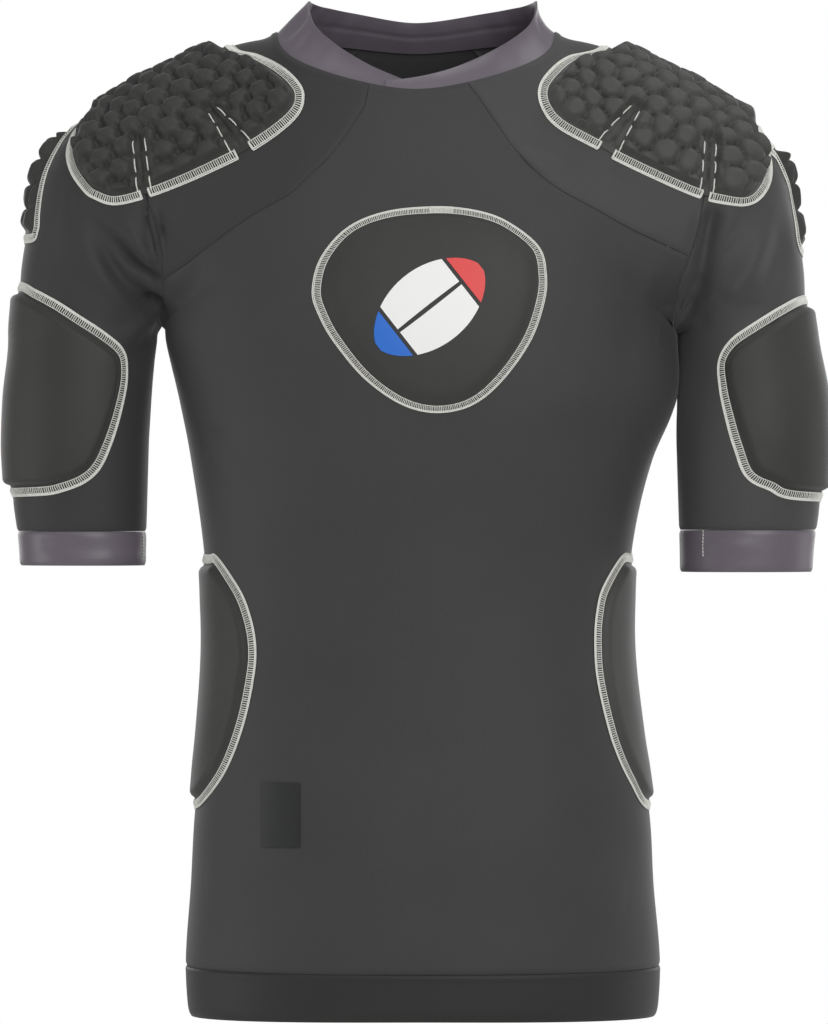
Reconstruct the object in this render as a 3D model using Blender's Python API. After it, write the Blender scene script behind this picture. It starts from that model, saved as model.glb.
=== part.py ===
"""Rugby shoulder pads: a close-fitting short-sleeved top with foam pads sewn on, filled out as worn.

Metres, +Z up. The front faces -Y and +X is the wearer's left. The origin lies between the shoulders, level
with the seam where the collar meets the shoulder line, which is where the wearer holds the top up.
"""

import math

import bmesh
import bpy
import numpy as np
from mathutils import Vector
from mathutils.geometry import delaunay_2d_cdt

CLOTH_WALL = 0.0015
BAND_WALL = 0.0016
SEAM_GAP = 0.0003

HEM_SEAM_Z = -0.6685
HEM_EDGE_Z = -0.7050
HEM_FRONT_LIFT = 0.003

ARMPIT_X = 0.1845
ARMPIT_Z = -0.2165
WEB_RADIUS = 0.006
CAP_ARC = 0.11
CUFF_SEAM_Z = -0.3570
CUFF_EDGE_Z = -0.3815

NECK_HALF_WIDTH = 0.100
NECK_FRONT = 0.0775
NECK_BACK = 0.069
NECK_FRONT_POWER = 0.6
NECK_BACK_POWER = 0.8
COLLAR_LAP = 0.0024
COLLAR_SWAY = 0.005

# The collar band by angle from the front: how wide it shows, and how far it leans in towards the neck.
COLLAR_COLUMNS = ("turn", "width", "lean")
COLLAR_ROWS = (
    (-13.0, 0.0030, 0.34),
    (0.0, 0.0090, 0.34),
    (15.0, 0.0130, 0.36),
    (30.0, 0.0175, 0.42),
    (50.0, 0.0228, 0.52),
    (75.0, 0.0264, 0.60),
    (100.0, 0.0274, 0.60),
    (140.0, 0.0250, 0.55),
    (180.0, 0.0230, 0.50),
)

# Sections of the trunk, level by level: reach to each side, forward and backward, and the sway of its middle.
TRUNK_COLUMNS = ("z", "half_width", "front", "back", "lean")
TRUNK_ROWS = (
    (-0.730, 0.1660, 0.110, 0.112, 0.0050),
    (-0.6725, 0.1706, 0.112, 0.114, 0.0050),
    (-0.6080, 0.1663, 0.110, 0.112, 0.0045),
    (-0.5645, 0.1640, 0.108, 0.108, 0.0045),
    (-0.500, 0.1555, 0.105, 0.102, 0.0028),
    (-0.430, 0.1502, 0.103, 0.097, 0.0014),
    (-0.370, 0.1540, 0.104, 0.097, 0.0014),
    (-0.3053, 0.1660, 0.110, 0.104, 0.0042),
    (-0.262, 0.1782, 0.114, 0.110, 0.0088),
    (-0.2165, 0.1795, 0.114, 0.115, 0.0030),
    (-0.170, 0.1780, 0.109, 0.115, 0.0008),
    (-0.120, 0.1680, 0.098, 0.110, 0.0),
    (-0.070, 0.1480, 0.085, 0.098, 0.0),
    (-0.030, 0.1250, 0.073, 0.081, 0.0),
    (0.000, 0.1000, 0.060, 0.066, 0.0),
    (0.030, 0.0850, 0.050, 0.055, 0.0),
)
TRUNK_POWER = 2.35

# The shoulder by distance from the middle, the sleeve head by angle about the armpit, the arm by level.
SHOULDER_COLUMNS = ("x", "top", "front", "back")
SHOULDER_ROWS = (
    (0.060, -0.0015, 0.058, 0.068),
    (0.100, -0.0014, 0.060, 0.070),
    (0.136, -0.0085, 0.062, 0.072),
    (0.163, -0.0207, 0.064, 0.073),
)
CAP_COLUMNS = ("angle", "outer", "front", "back")
CAP_ROWS = (
    (0.0, 0.1850, 0.065, 0.073),
    (12.0, 0.1688, 0.064, 0.072),
    (22.0, 0.1628, 0.063, 0.070),
    (29.0, 0.1540, 0.062, 0.069),
    (37.0, 0.1425, 0.061, 0.067),
    (45.0, 0.1295, 0.060, 0.065),
    (55.0, 0.1180, 0.058, 0.062),
    (65.0, 0.1100, 0.057, 0.060),
    (75.0, 0.1040, 0.056, 0.057),
)
ARM_COLUMNS = ("z", "inner", "outer", "front", "back")
ARM_ROWS = (
    (-0.2165, 0.1905, 0.2855, 0.056, 0.054),
    (-0.262, 0.1912, 0.2895, 0.058, 0.050),
    (-0.300, 0.1922, 0.2905, 0.058, 0.046),
    (-0.338, 0.1932, 0.2890, 0.056, 0.040),
    (-0.360, 0.1938, 0.2860, 0.054, 0.037),
    (-0.390, 0.1942, 0.2840, 0.053, 0.036),
)
SLEEVE_POWER = 2.15
BLEND = 0.030
BLEND_RISE = 0.050
# The left sleeve hangs a little forward, inward and lower, is wider, and lies along the side of the body.
SWING_LEFT = (-0.0025, -0.010, -0.0045)
WIDER_LEFT = 0.05
SWING_DROP = 0.090
# The outside of its head is tucked in by this much, from one level down to another.
TUCK_LEFT = -0.0050
TUCK_TOP_Z = -0.055
TUCK_END_Z = -0.190
TUCK_EASE = 0.070

# Seams of the yokes, seen from the front and from behind. The wearer's right one runs lower in front.
YOKE_DROP_RIGHT = 0.006
YOKE_EASE = 0.06
YOKE_COLUMNS = ("x", "z")
YOKE_FRONT = (
    (0.036, -0.0485),
    (0.046, -0.066),
    (0.072, -0.098),
    (0.100, -0.115),
    (0.135, -0.132),
    (0.166, -0.152),
    (0.1845, -0.166),
)
YOKE_BACK = (
    (0.040, -0.004),
    (0.080, -0.040),
    (0.130, -0.082),
    (0.1845, -0.125),
)

# Soft folds about the armpits, from the first point to the second as seen from the front or the back.
FOLD_COLUMNS = ("face", "x1", "z1", "x2", "z2", "width", "height")
FOLD_ROWS = (
    ("front", -0.183, -0.196, -0.228, -0.146, 0.0085, -0.0034),
    ("front", -0.190, -0.205, -0.214, -0.205, 0.0080, -0.0030),
    ("front", -0.186, -0.186, -0.204, -0.150, 0.0080, 0.0022),
    ("front", -0.166, -0.200, -0.140, -0.160, 0.0110, -0.0022),
    ("front", 0.184, -0.194, 0.202, -0.152, 0.0085, -0.0030),
    ("front", 0.200, -0.215, 0.236, -0.150, 0.0100, 0.0024),
    ("front", 0.170, -0.205, 0.158, -0.160, 0.0100, 0.0022),
    ("back", -0.184, -0.196, -0.222, -0.150, 0.0090, -0.0030),
    ("back", -0.168, -0.198, -0.138, -0.150, 0.0110, -0.0024),
    ("back", 0.184, -0.194, 0.226, -0.146, 0.0090, -0.0030),
    ("back", 0.166, -0.200, 0.142, -0.154, 0.0110, -0.0024),
)

# Pad outlines on the wearer's right and left as seen from the front, from one end at the pad's middle line
# round to the other. They are not quite alike, as the two sides hang differently.
OUTLINE_COLUMNS = ("x", "z")
SHOULDER_PAD = {
    "right": (
        (0.1310, -0.0120),
        (0.1151, -0.0178),
        (0.0968, -0.0284),
        (0.0845, -0.0410),
        (0.0822, -0.0509),
        (0.0864, -0.0609),
        (0.0999, -0.0729),
        (0.1170, -0.0842),
        (0.1283, -0.0905),
        (0.1603, -0.1053),
        (0.1894, -0.1165),
        (0.2130, -0.1222),
        (0.2266, -0.1185),
        (0.2346, -0.1127),
        (0.2436, -0.0993),
        (0.2472, -0.0850),
        (0.2445, -0.0725),
        (0.2390, -0.0630),
    ),
    "left": (
        (0.1325, -0.0120),
        (0.1115, -0.0190),
        (0.0953, -0.0329),
        (0.0895, -0.0449),
        (0.0929, -0.0579),
        (0.1036, -0.0692),
        (0.1285, -0.0825),
        (0.1434, -0.0911),
        (0.1732, -0.1053),
        (0.1995, -0.1165),
        (0.2130, -0.1201),
        (0.2330, -0.1228),
        (0.2440, -0.1170),
        (0.2510, -0.1040),
        (0.2515, -0.0880),
        (0.2465, -0.0740),
    ),
}
# Darts in the front edge: the mouth on the edge, the tip, and half the opening at each.
DART_COLUMNS = ("mouth_x", "mouth_z", "tip_x", "tip_z", "mouth_half", "tip_half")
DARTS = {
    "right": (
        (0.1227, -0.0862, 0.1454, -0.0574, 0.0058, 0.0030),
        (0.1922, -0.1174, 0.1961, -0.0777, 0.0044, 0.0030),
    ),
    "left": (
        (0.1355, -0.0855, 0.1568, -0.0560, 0.0058, 0.0030),
        (0.2058, -0.1181, 0.2079, -0.0802, 0.0044, 0.0030),
    ),
}
ARM_CAP_PAD = {
    "right": (
        (0.2460, -0.0670),
        (0.2522, -0.0745),
        (0.2588, -0.0860),
        (0.2650, -0.1010),
        (0.2676, -0.1126),
        (0.2697, -0.1290),
        (0.2708, -0.1420),
        (0.2760, -0.1475),
    ),
    "left": (
        (0.2520, -0.0810),
        (0.2580, -0.0890),
        (0.2630, -0.0990),
        (0.2685, -0.1150),
        (0.2715, -0.1330),
        (0.2735, -0.1490),
        (0.2765, -0.1560),
    ),
}
BICEPS_PAD = {
    "right": (
        (0.2815, -0.1815),
        (0.2715, -0.1870),
        (0.2569, -0.1950),
        (0.2390, -0.2068),
        (0.2226, -0.2178),
        (0.2112, -0.2285),
        (0.2081, -0.2400),
        (0.2101, -0.2604),
        (0.2191, -0.2932),
        (0.2303, -0.3146),
        (0.2502, -0.3252),
        (0.2752, -0.3287),
    ),
    "left": (
        (0.2745, -0.1917),
        (0.2593, -0.1998),
        (0.2354, -0.2150),
        (0.2233, -0.2250),
        (0.2174, -0.2370),
        (0.2180, -0.2530),
        (0.2220, -0.2740),
        (0.2284, -0.2969),
        (0.2362, -0.3161),
        (0.2512, -0.3246),
        (0.2731, -0.3316),
    ),
}
RIB_PAD = {
    "right": (
        (0.1480, -0.3765),
        (0.1415, -0.3775),
        (0.1270, -0.3984),
        (0.1190, -0.4180),
        (0.1154, -0.4380),
        (0.1166, -0.4585),
        (0.1240, -0.4933),
        (0.1364, -0.5256),
        (0.1495, -0.5450),
        (0.1570, -0.5525),
    ),
    "left": (
        (0.1530, -0.3760),
        (0.1465, -0.3770),
        (0.1343, -0.3970),
        (0.1297, -0.4150),
        (0.1284, -0.4360),
        (0.1306, -0.4637),
        (0.1407, -0.5050),
        (0.1532, -0.5339),
        (0.1640, -0.5520),
    ),
}
CHEST_PAD = (
    (0.0169, -0.1305),
    (0.0440, -0.1335),
    (0.0640, -0.1410),
    (0.0840, -0.1570),
    (0.0890, -0.1765),
    (0.0870, -0.1965),
    (0.0770, -0.2235),
    (0.0570, -0.2510),
    (0.0370, -0.2665),
    (0.0133, -0.2710),
    (-0.0100, -0.2650),
    (-0.0340, -0.2480),
    (-0.0545, -0.2235),
    (-0.0660, -0.2030),
    (-0.0700, -0.1865),
    (-0.0635, -0.1635),
    (-0.0450, -0.1435),
    (-0.0180, -0.1333),
)
LABEL_BOX = (-0.1087, -0.0819, -0.5795, -0.5340)

# The line inside the body that each pad's drawing board bends about: its place for the wearer's left, how far
# it tilts, and the board's radius.
BOARD_COLUMNS = ("x", "y", "z", "tilt", "radius")
SHOULDER_BOARD = (0.150, 0.005, -0.082, 66.0, 0.072)
ARM_CAP_BOARD = (0.224, 0.003, -0.110, 14.0, 0.056)
BICEPS_BOARD = (0.240, -0.003, -0.260, 0.0, 0.052)
RIB_BOARD = (0.060, 0.0, -0.460, 0.0, 0.093)
RIB_BOARD_SHIFT = 0.0022
CHEST_BOARD = (0.010, 0.0, -0.200, 0.0, 0.112)
LABEL_BOARD = (0.004, 0.0, -0.556, 0.0, 0.108)

CELL_PITCH = 0.0180
# Heights of a pad over its underside, how far in from the edge it rises, its seat clear of the cloth, and
# the spacing of the underside's points.
PAD_COLUMNS = ("rim", "valley", "crest", "ramp", "seat", "under")
BUBBLE_PAD = (0.0022, 0.0046, 0.0088, 0.009, 0.0021, 0.0160)
CAP_BUBBLE_PAD = (0.0020, 0.0040, 0.0078, 0.007, 0.0010, 0.0135)
BICEPS_FOAM = (0.0018, 0.0058, 0.0064, 0.013, 0.0015, 0.0135)
RIB_FOAM = (0.0016, 0.0042, 0.0048, 0.013, 0.0014, 0.0200)
CHEST_FOAM = (0.0012, 0.0030, 0.0034, 0.012, 0.0008, 0.0280)
LABEL_FILM = (0.0010, 0.0010, 0.0010, 0.0, 0.0006, 0.0200)
OUTLINE_STEP = 0.010
SMOOTH_OUTLINE_STEP = 0.012

SEAM_STEPS = 9
NECK_STEPS = 6
YOKE_STEPS = 12
LOW_FRONT_STEPS = 5
LOW_BACK_STEPS = 6
SIDE_STEPS = 13
CAP_ANGLES = (0.0, 10.0, 21.0, 33.0, 46.0, 60.0, 75.0, 90.0)
ARM_STEPS = 7
COLLAR_STEPS = 44

CHARCOAL = (0.050, 0.050, 0.051)
PAD_CHARCOAL = (0.042, 0.042, 0.043)
MAUVE_GREY = (0.110, 0.090, 0.104)
LABEL_DARK = (0.020, 0.021, 0.022)


def table(columns, rows):
    """The rows as one array for each named column."""
    return {name: np.array([row[i] for row in rows]) for i, name in enumerate(columns)}


def curve_through(knots, values):
    """A smooth function that passes through the values."""
    slopes = np.gradient(values, knots)

    def at(t):
        t = np.clip(t, knots[0], knots[-1])
        i = np.clip(np.searchsorted(knots, t) - 1, 0, len(knots) - 2)
        span = knots[i + 1] - knots[i]
        f = (t - knots[i]) / span
        start = (1 + 2 * f) * (1 - f) ** 2 * values[i] + f * (1 - f) ** 2 * span * slopes[i]
        end = f * f * (3 - 2 * f) * values[i + 1] + f * f * (f - 1) * span * slopes[i + 1]
        return start + end

    return at


def ease(t):
    t = np.clip(t, 0.0, 1.0)
    return t * t * (3 - 2 * t)


def trunk_curves():
    rows = table(TRUNK_COLUMNS, TRUNK_ROWS)
    return {name: curve_through(rows["z"], rows[name]) for name in TRUNK_COLUMNS[1:]}


def sleeve_curves():
    """Reach from the armpit to the under and upper side, forward and backward, by distance along it."""
    shoulder = table(SHOULDER_COLUMNS, SHOULDER_ROWS)
    cap = table(CAP_COLUMNS, CAP_ROWS)
    arm = table(ARM_COLUMNS, ARM_ROWS)
    along = np.concatenate([
        shoulder["x"] - ARMPIT_X,
        np.radians(cap["angle"]) * CAP_ARC,
        math.pi / 2 * CAP_ARC + ARMPIT_Z - arm["z"],
    ])
    web = np.full(len(shoulder["x"]) + len(cap["angle"]), WEB_RADIUS)
    columns = {
        "inner": np.concatenate([web, arm["inner"] - ARMPIT_X]),
        "outer": np.concatenate([shoulder["top"] - ARMPIT_Z, cap["outer"], arm["outer"] - ARMPIT_X]),
        "front": np.concatenate([shoulder["front"], cap["front"], arm["front"]]),
        "back": np.concatenate([shoulder["back"], cap["back"], arm["back"]]),
    }
    return {name: curve_through(along, values) for name, values in columns.items()}


TRUNK = trunk_curves()
SLEEVE = sleeve_curves()
ARM_START = math.pi / 2 * CAP_ARC


def trunk_gap(p):
    """Roughly how far each point is outside the trunk; negative inside."""
    x, y, z = p.T
    half = TRUNK["half_width"](z)
    deep = np.where(y < 0, TRUNK["front"](z), TRUNK["back"](z))
    ring = np.abs((x - TRUNK["lean"](z)) / half) ** TRUNK_POWER + np.abs(y / deep) ** TRUNK_POWER
    return (ring ** (1 / TRUNK_POWER) - 1) * np.minimum(half, deep)


def swing_at(x, z):
    """How far the sleeves swing sideways, forward and down at each level, and how much wider they are."""
    share = ease((ARMPIT_Z + 0.010 - z) / SWING_DROP) * (x > 0)
    tuck = TUCK_LEFT * ease((TUCK_TOP_Z - z) / TUCK_EASE) * (1 - ease((TUCK_END_Z - z) / TUCK_EASE))
    tuck = tuck * ease((x - ARMPIT_X) / TUCK_EASE)
    sideways, forward, down = (part * share for part in SWING_LEFT)
    return sideways + tuck, forward, down, 1 + WIDER_LEFT * share


def sleeve_gap(p):
    """Roughly how far each point is outside the shoulders and sleeves; negative inside."""
    x, y, z = p.T
    swing_x, swing_y, swing_z, wider = swing_at(x, z)
    dx = np.abs(x) - swing_x - ARMPIT_X
    y = y - swing_y
    dz = z - swing_z - ARMPIT_Z
    head = (dx >= 0) & (dz >= 0)
    arm = (dx >= 0) & (dz < 0)
    turn = np.arctan2(np.maximum(dx, 0), np.where(head, dz, 1.0)) * CAP_ARC
    along = np.where(head, turn, np.where(arm, ARM_START - dz, dx))
    reach = np.where(head, np.hypot(dx, dz), np.where(arm, dx, dz))
    inner, outer = SLEEVE["inner"](along), SLEEVE["outer"](along)
    front, back = SLEEVE["front"](along), SLEEVE["back"](along)
    half, deep = (outer - inner) / 2 * wider, (front + back) / 2
    ring = np.abs((reach - (inner + outer) / 2) / half) ** SLEEVE_POWER
    ring = ring + np.abs((y - (back - front) / 2) / deep) ** SLEEVE_POWER
    return (ring ** (1 / SLEEVE_POWER) - 1) * np.minimum(half, deep)


def top_gap(p):
    """Outside distance of the whole form: trunk and sleeves run into each other above the armpits."""
    a, b = trunk_gap(p), sleeve_gap(p)
    z = p[:, 2]
    soft = BLEND * ease((z - ARMPIT_Z) / BLEND_RISE) * (1 - 0.75 * ease((z + 0.12) / 0.07)) + 1e-9
    near = np.clip(1 - np.abs(a - b) / soft, 0, None)
    return np.minimum(a, b) - near * near * soft / 4


def body_gap(p):
    return np.where(p[:, 2] > ARMPIT_Z, top_gap(p), trunk_gap(p))


def arm_gap(p):
    return np.where(p[:, 2] > ARMPIT_Z, top_gap(p), sleeve_gap(p))


def slope_of(gap, p):
    step = 1e-4
    parts = []
    for axis in np.eye(3) * step:
        parts.append((gap(p + axis) - gap(p - axis)) / (2 * step))
    return np.stack(parts, axis=1)


def normals_at(gap, p):
    slope = slope_of(gap, p)
    return slope / np.linalg.norm(slope, axis=1, keepdims=True)


def settle(gap, p, rounds=14):
    """Moves points to the surface along its slope."""
    for _ in range(rounds):
        slope = slope_of(gap, p)
        p = p - slope * (gap(p) / (slope * slope).sum(axis=1))[:, None]
    return p


def first_crossing(gap, start, direction, reach, steps=80):
    """The first place along each line where it crosses the surface."""
    sign = np.sign(gap(start))
    low = np.zeros(len(start))
    high = np.full(len(start), reach)
    found = np.zeros(len(start), bool)
    for k in range(1, steps + 1):
        t = reach * k / steps
        crossed = ~found & (np.sign(gap(start + direction * t)) != sign)
        high[crossed] = t
        low[crossed] = t - reach / steps
        found |= crossed
    for _ in range(26):
        mid = (low + high) / 2
        same = np.sign(gap(start + direction * mid[:, None])) == sign
        low = np.where(same, mid, low)
        high = np.where(same, high, mid)
    return start + direction * high[:, None]


def seen_at(face, x, z, gap=top_gap):
    """Points of the surface at these places as seen from the front or the back."""
    x, z = np.broadcast_arrays(np.asarray(x, float), np.asarray(z, float))
    far = -0.30 if face == "front" else 0.30
    start = np.stack([x, np.full(x.shape, far), z], axis=1)
    direction = np.tile([0.0, -np.sign(far), 0.0], (len(x), 1))
    return first_crossing(gap, start, direction, 0.45, 150)


def fold_list():
    folds = []
    for row in FOLD_ROWS:
        fold = dict(zip(FOLD_COLUMNS, row))
        x, z = [fold["x1"], fold["x2"]], [fold["z1"], fold["z2"]]
        gap = arm_gap if min(np.abs(x)) > ARMPIT_X - 0.002 else body_gap
        start, end = seen_at(fold["face"], x, z, gap)
        folds.append((start, end, fold["width"], fold["height"]))
    return folds


def fold_height(p):
    """Sum of soft ridges and troughs, each widest at its start and faded at its far end."""
    total = np.zeros(len(p))
    for start, end, width, height in FOLDS:
        run = end - start
        share = np.clip((p - start) @ run / (run @ run), 0, 1)
        away = np.linalg.norm(p - start - share[:, None] * run, axis=1)
        total += height * np.exp(-((away / width) ** 2)) * (1 - 0.55 * share)
    return total


FOLDS = fold_list()


def dressed(gap, p):
    """Surface points with their folds, and the normals of the surface."""
    normals = normals_at(gap, p)
    return p + normals * fold_height(p)[:, None], normals


def resample(points, steps):
    """The polyline as this many equal steps."""
    lengths = np.concatenate([[0], np.cumsum(np.linalg.norm(np.diff(points, axis=0), axis=1))])
    at = np.linspace(0, lengths[-1], steps + 1)
    return np.stack([np.interp(at, lengths, points[:, k]) for k in range(points.shape[1])], axis=1)


def neckline(turns):
    """Points of the neckline, by angle from the front towards the wearer's left."""
    sine, cosine = np.sin(turns), np.cos(turns)
    front = -NECK_FRONT * np.abs(cosine) ** NECK_FRONT_POWER
    y = np.where(cosine > 0, front, NECK_BACK * np.abs(cosine) ** NECK_BACK_POWER)
    start = np.stack([NECK_HALF_WIDTH * sine, y, np.full(len(turns), 0.12)], axis=1)
    down = np.tile([0.0, 0.0, -1.0], (len(turns), 1))
    return first_crossing(top_gap, start, down, 0.25)


def yoke_drop(side):
    return YOKE_DROP_RIGHT if side < 0 else 0.0


def armhole(side):
    """The armhole from the armpit up the front, over the top and down the back, in three runs."""
    turns = np.linspace(math.pi, -math.pi, 721)
    middle = (SLEEVE["inner"](0.0) + SLEEVE["outer"](0.0)) / 2 + ARMPIT_Z
    back = (SLEEVE["back"](0.0) - SLEEVE["front"](0.0)) / 2
    start = np.tile([side * ARMPIT_X, back, middle], (len(turns), 1))
    direction = np.stack([np.zeros(len(turns)), -np.sin(turns), np.cos(turns)], axis=1)
    loop = first_crossing(arm_gap, start, direction, 0.2)
    high = loop[:, 2] > YOKE_FRONT[-1][1] - yoke_drop(side)
    first = int(np.argmax(high))
    high_back = loop[:, 2] > YOKE_BACK[-1][1]
    last = len(loop) - 1 - int(np.argmax(high_back[::-1]))
    return (
        resample(loop[: first + 1], LOW_FRONT_STEPS),
        resample(loop[first : last + 1], YOKE_STEPS),
        resample(loop[last:], LOW_BACK_STEPS),
    )


def yoke_seam(side, face, rows, neck_point, armhole_point):
    """The seam from the neckline to the armhole."""
    rows = table(YOKE_COLUMNS, rows)
    x = np.linspace(abs(neck_point[0]), ARMPIT_X, 120)[1:-1]
    z = curve_through(rows["x"], rows["z"])(x)
    away = ease((x - x[0]) / YOKE_EASE)
    if face == "back":
        z = z + (neck_point[2] - rows["z"][0]) * (1 - away)
    else:
        z = z - yoke_drop(side) * away
    inside = seen_at(face, side * x, z)
    return resample(np.vstack([neck_point, inside, armhole_point]), SEAM_STEPS)


def trunk_ring(z, turns, gap=body_gap):
    """Points round the body at a level, by angle from the front towards the wearer's left."""
    z = np.broadcast_to(np.asarray(z, float), turns.shape)
    start = np.stack([TRUNK["lean"](z), np.zeros(len(turns)), z], axis=1)
    direction = np.stack([np.sin(turns), -np.cos(turns), np.zeros(len(turns))], axis=1)
    return first_crossing(gap, start, direction, 0.25)


def patch(gap, bottom, top, left, right):
    """Fills the space between four edges that share corners, then settles it onto the surface."""
    rows, cols = len(left), len(bottom)
    u = np.linspace(0, 1, cols)[None, :, None]
    v = np.linspace(0, 1, rows)[:, None, None]
    ruled = (1 - v) * bottom[None] + v * top[None] + (1 - u) * left[:, None] + u * right[:, None]
    corners = (1 - v) * ((1 - u) * bottom[0] + u * bottom[-1]) + v * ((1 - u) * top[0] + u * top[-1])
    grid = ruled - corners
    inside = grid[1:-1, 1:-1].reshape(-1, 3)
    grid[1:-1, 1:-1] = settle(gap, inside).reshape(rows - 2, cols - 2, 3)
    return grid


def pull_in(grid, edges):
    """Draws the named edges in by half the seam gap."""
    moved = grid.copy()
    pairs = {"bottom": (0, 1, 0), "top": (-1, -2, 0), "left": (0, 1, 1), "right": (-1, -2, 1)}
    for edge in edges:
        at, inner, axis = pairs[edge]
        ends = np.take(grid, at, axis=axis)
        way = np.take(grid, inner, axis=axis) - ends
        way = way / np.linalg.norm(way, axis=1, keepdims=True) * SEAM_GAP / 2
        if axis == 0:
            moved[at] += way
        else:
            moved[:, at] += way
    return moved


def material(name, colour, roughness):
    made = bpy.data.materials.new(name)
    made.use_nodes = True
    shader = made.node_tree.nodes["Principled BSDF"]
    shader.inputs["Base Color"].default_value = (*colour, 1.0)
    shader.inputs["Roughness"].default_value = roughness
    return made


def add_solid(name, points, faces, look):
    """One closed mesh object with its faces turned outward."""
    mesh = bpy.data.meshes.new(name)
    mesh.from_pydata([tuple(p) for p in points], [], faces)
    shape = bmesh.new()
    shape.from_mesh(mesh)
    bmesh.ops.recalc_face_normals(shape, faces=shape.faces)
    shape.to_mesh(mesh)
    shape.free()
    mesh.materials.append(look)
    solid = bpy.data.objects.new(name, mesh)
    bpy.context.scene.collection.objects.link(solid)
    return solid


def wall(name, outer, normals, thickness, look, ring=False):
    """A cloth wall: the outer grid, the same grid moved inward, and the edges between them."""
    rows, cols = outer.shape[:2]
    inner = outer - normals * thickness
    count = rows * cols
    points = np.concatenate([outer.reshape(-1, 3), inner.reshape(-1, 3)])
    across = [(c, (c + 1) % cols) for c in range(cols if ring else cols - 1)]
    faces = []
    for r in range(rows - 1):
        for c, d in across:
            quad = (r * cols + c, r * cols + d, (r + 1) * cols + d, (r + 1) * cols + c)
            faces.append(quad)
            faces.append(tuple(count + i for i in reversed(quad)))
    for r in (0, rows - 1):
        for c, d in across:
            faces.append((r * cols + c, r * cols + d, count + r * cols + d, count + r * cols + c))
    for c in () if ring else (0, cols - 1):
        for r in range(rows - 1):
            low, high = r * cols + c, (r + 1) * cols + c
            faces.append((low, high, count + high, count + low))
    return add_solid(name, points, faces, look)


def cloth(name, gap, grid, edges, look, ring=False):
    grid = pull_in(grid, edges)
    points, normals = dressed(gap, grid.reshape(-1, 3))
    return wall(name, points.reshape(grid.shape), normals.reshape(grid.shape), CLOTH_WALL, look, ring)


def make_layout():
    """All shared seam points, so that the panels meet along the same lines."""
    seams = {}
    for side, word in ((-1, "right"), (1, "left")):
        low_front, over, low_back = armhole(side)
        corner_front = math.asin(YOKE_FRONT[0][0] / NECK_HALF_WIDTH)
        corner_back = math.pi - math.asin(YOKE_BACK[0][0] / NECK_HALF_WIDTH)
        side_turns = side * np.linspace(corner_front, corner_back, 241)
        neck = resample(neckline(side_turns), YOKE_STEPS)
        seams[word] = {
            "low_front": low_front,
            "over": over,
            "low_back": low_back,
            "neck": neck,
            "front": yoke_seam(side, "front", YOKE_FRONT, neck[0], over[0]),
            "back": yoke_seam(side, "back", YOKE_BACK, neck[-1], over[-1]),
        }
        levels = np.linspace(HEM_SEAM_Z, ARMPIT_Z - 0.004, SIDE_STEPS + 1)[:-1]
        levels = np.append(levels, 0.0)
        flank = trunk_ring(levels, np.full(len(levels), side * math.pi / 2))
        flank[-1] = low_front[0]
        seams[word]["flank"] = flank
    turn = math.asin(YOKE_FRONT[0][0] / NECK_HALF_WIDTH)
    seams["neck_front"] = resample(neckline(np.linspace(-turn, turn, 61)), NECK_STEPS)
    turn = math.asin(YOKE_BACK[0][0] / NECK_HALF_WIDTH)
    seams["neck_back"] = resample(neckline(np.linspace(math.pi + turn, math.pi - turn, 61)), NECK_STEPS)
    half = SEAM_STEPS * 2 + NECK_STEPS
    fine = np.linspace(-math.pi / 2, math.pi / 2, 361)
    seams["hem_front"] = resample(trunk_ring(HEM_SEAM_Z, fine), half)
    seams["hem_back"] = resample(trunk_ring(HEM_SEAM_Z, math.pi - fine), half)
    return seams


def make_panels(seams, look):
    right, left = seams["right"], seams["left"]
    top = np.vstack([right["front"][::-1], seams["neck_front"][1:-1], left["front"]])
    sides = [np.vstack([s["flank"], s["low_front"][1:]]) for s in (right, left)]
    grid = patch(body_gap, seams["hem_front"], top, *sides)
    cloth("front_body", body_gap, grid, ("bottom", "top", "left", "right"), look)
    top = np.vstack([right["back"][::-1], seams["neck_back"][1:-1], left["back"]])
    sides = [np.vstack([s["flank"], s["low_back"][::-1][1:]]) for s in (right, left)]
    grid = patch(body_gap, seams["hem_back"], top, *sides)
    cloth("back_body", body_gap, grid, ("bottom", "top", "left", "right"), look)
    for word in ("left", "right"):
        s = seams[word]
        grid = patch(body_gap, s["front"], s["back"], s["neck"], s["over"])
        cloth("yoke_" + word, body_gap, grid, ("bottom", "top", "left", "right"), look)


def sleeve_station(side, along):
    """Middle of the sleeve at a distance along it, and the way from there to its upper side."""
    middle = (SLEEVE["inner"](along) + SLEEVE["outer"](along)) / 2
    back = (SLEEVE["back"](along) - SLEEVE["front"](along)) / 2
    turn = np.clip(along / CAP_ARC, 0, math.pi / 2)
    drop = np.maximum(along - ARM_START, 0)
    x = ARMPIT_X + middle * np.sin(turn)
    z = ARMPIT_Z + middle * np.cos(turn) - drop
    swing_x, swing_y, swing_z, _ = swing_at(side * x, z)
    centre = np.stack([side * (x + swing_x), back + swing_y, z + swing_z], axis=-1)
    outward = np.stack([side * np.sin(turn), np.zeros_like(turn), np.cos(turn)], axis=-1)
    return centre, outward


def sleeve_rings(side, along, turns):
    """Rings of points round the sleeve; turns are angles from its upper side towards the front."""
    centre, outward = sleeve_station(side, along)
    forward = np.array([0.0, -1.0, 0.0])
    way = np.cos(turns)[..., None] * outward[:, None] + np.sin(turns)[..., None] * forward
    start = np.broadcast_to(centre[:, None], way.shape).reshape(-1, 3)
    return first_crossing(arm_gap, start, way.reshape(-1, 3), 0.2).reshape(way.shape)


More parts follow.
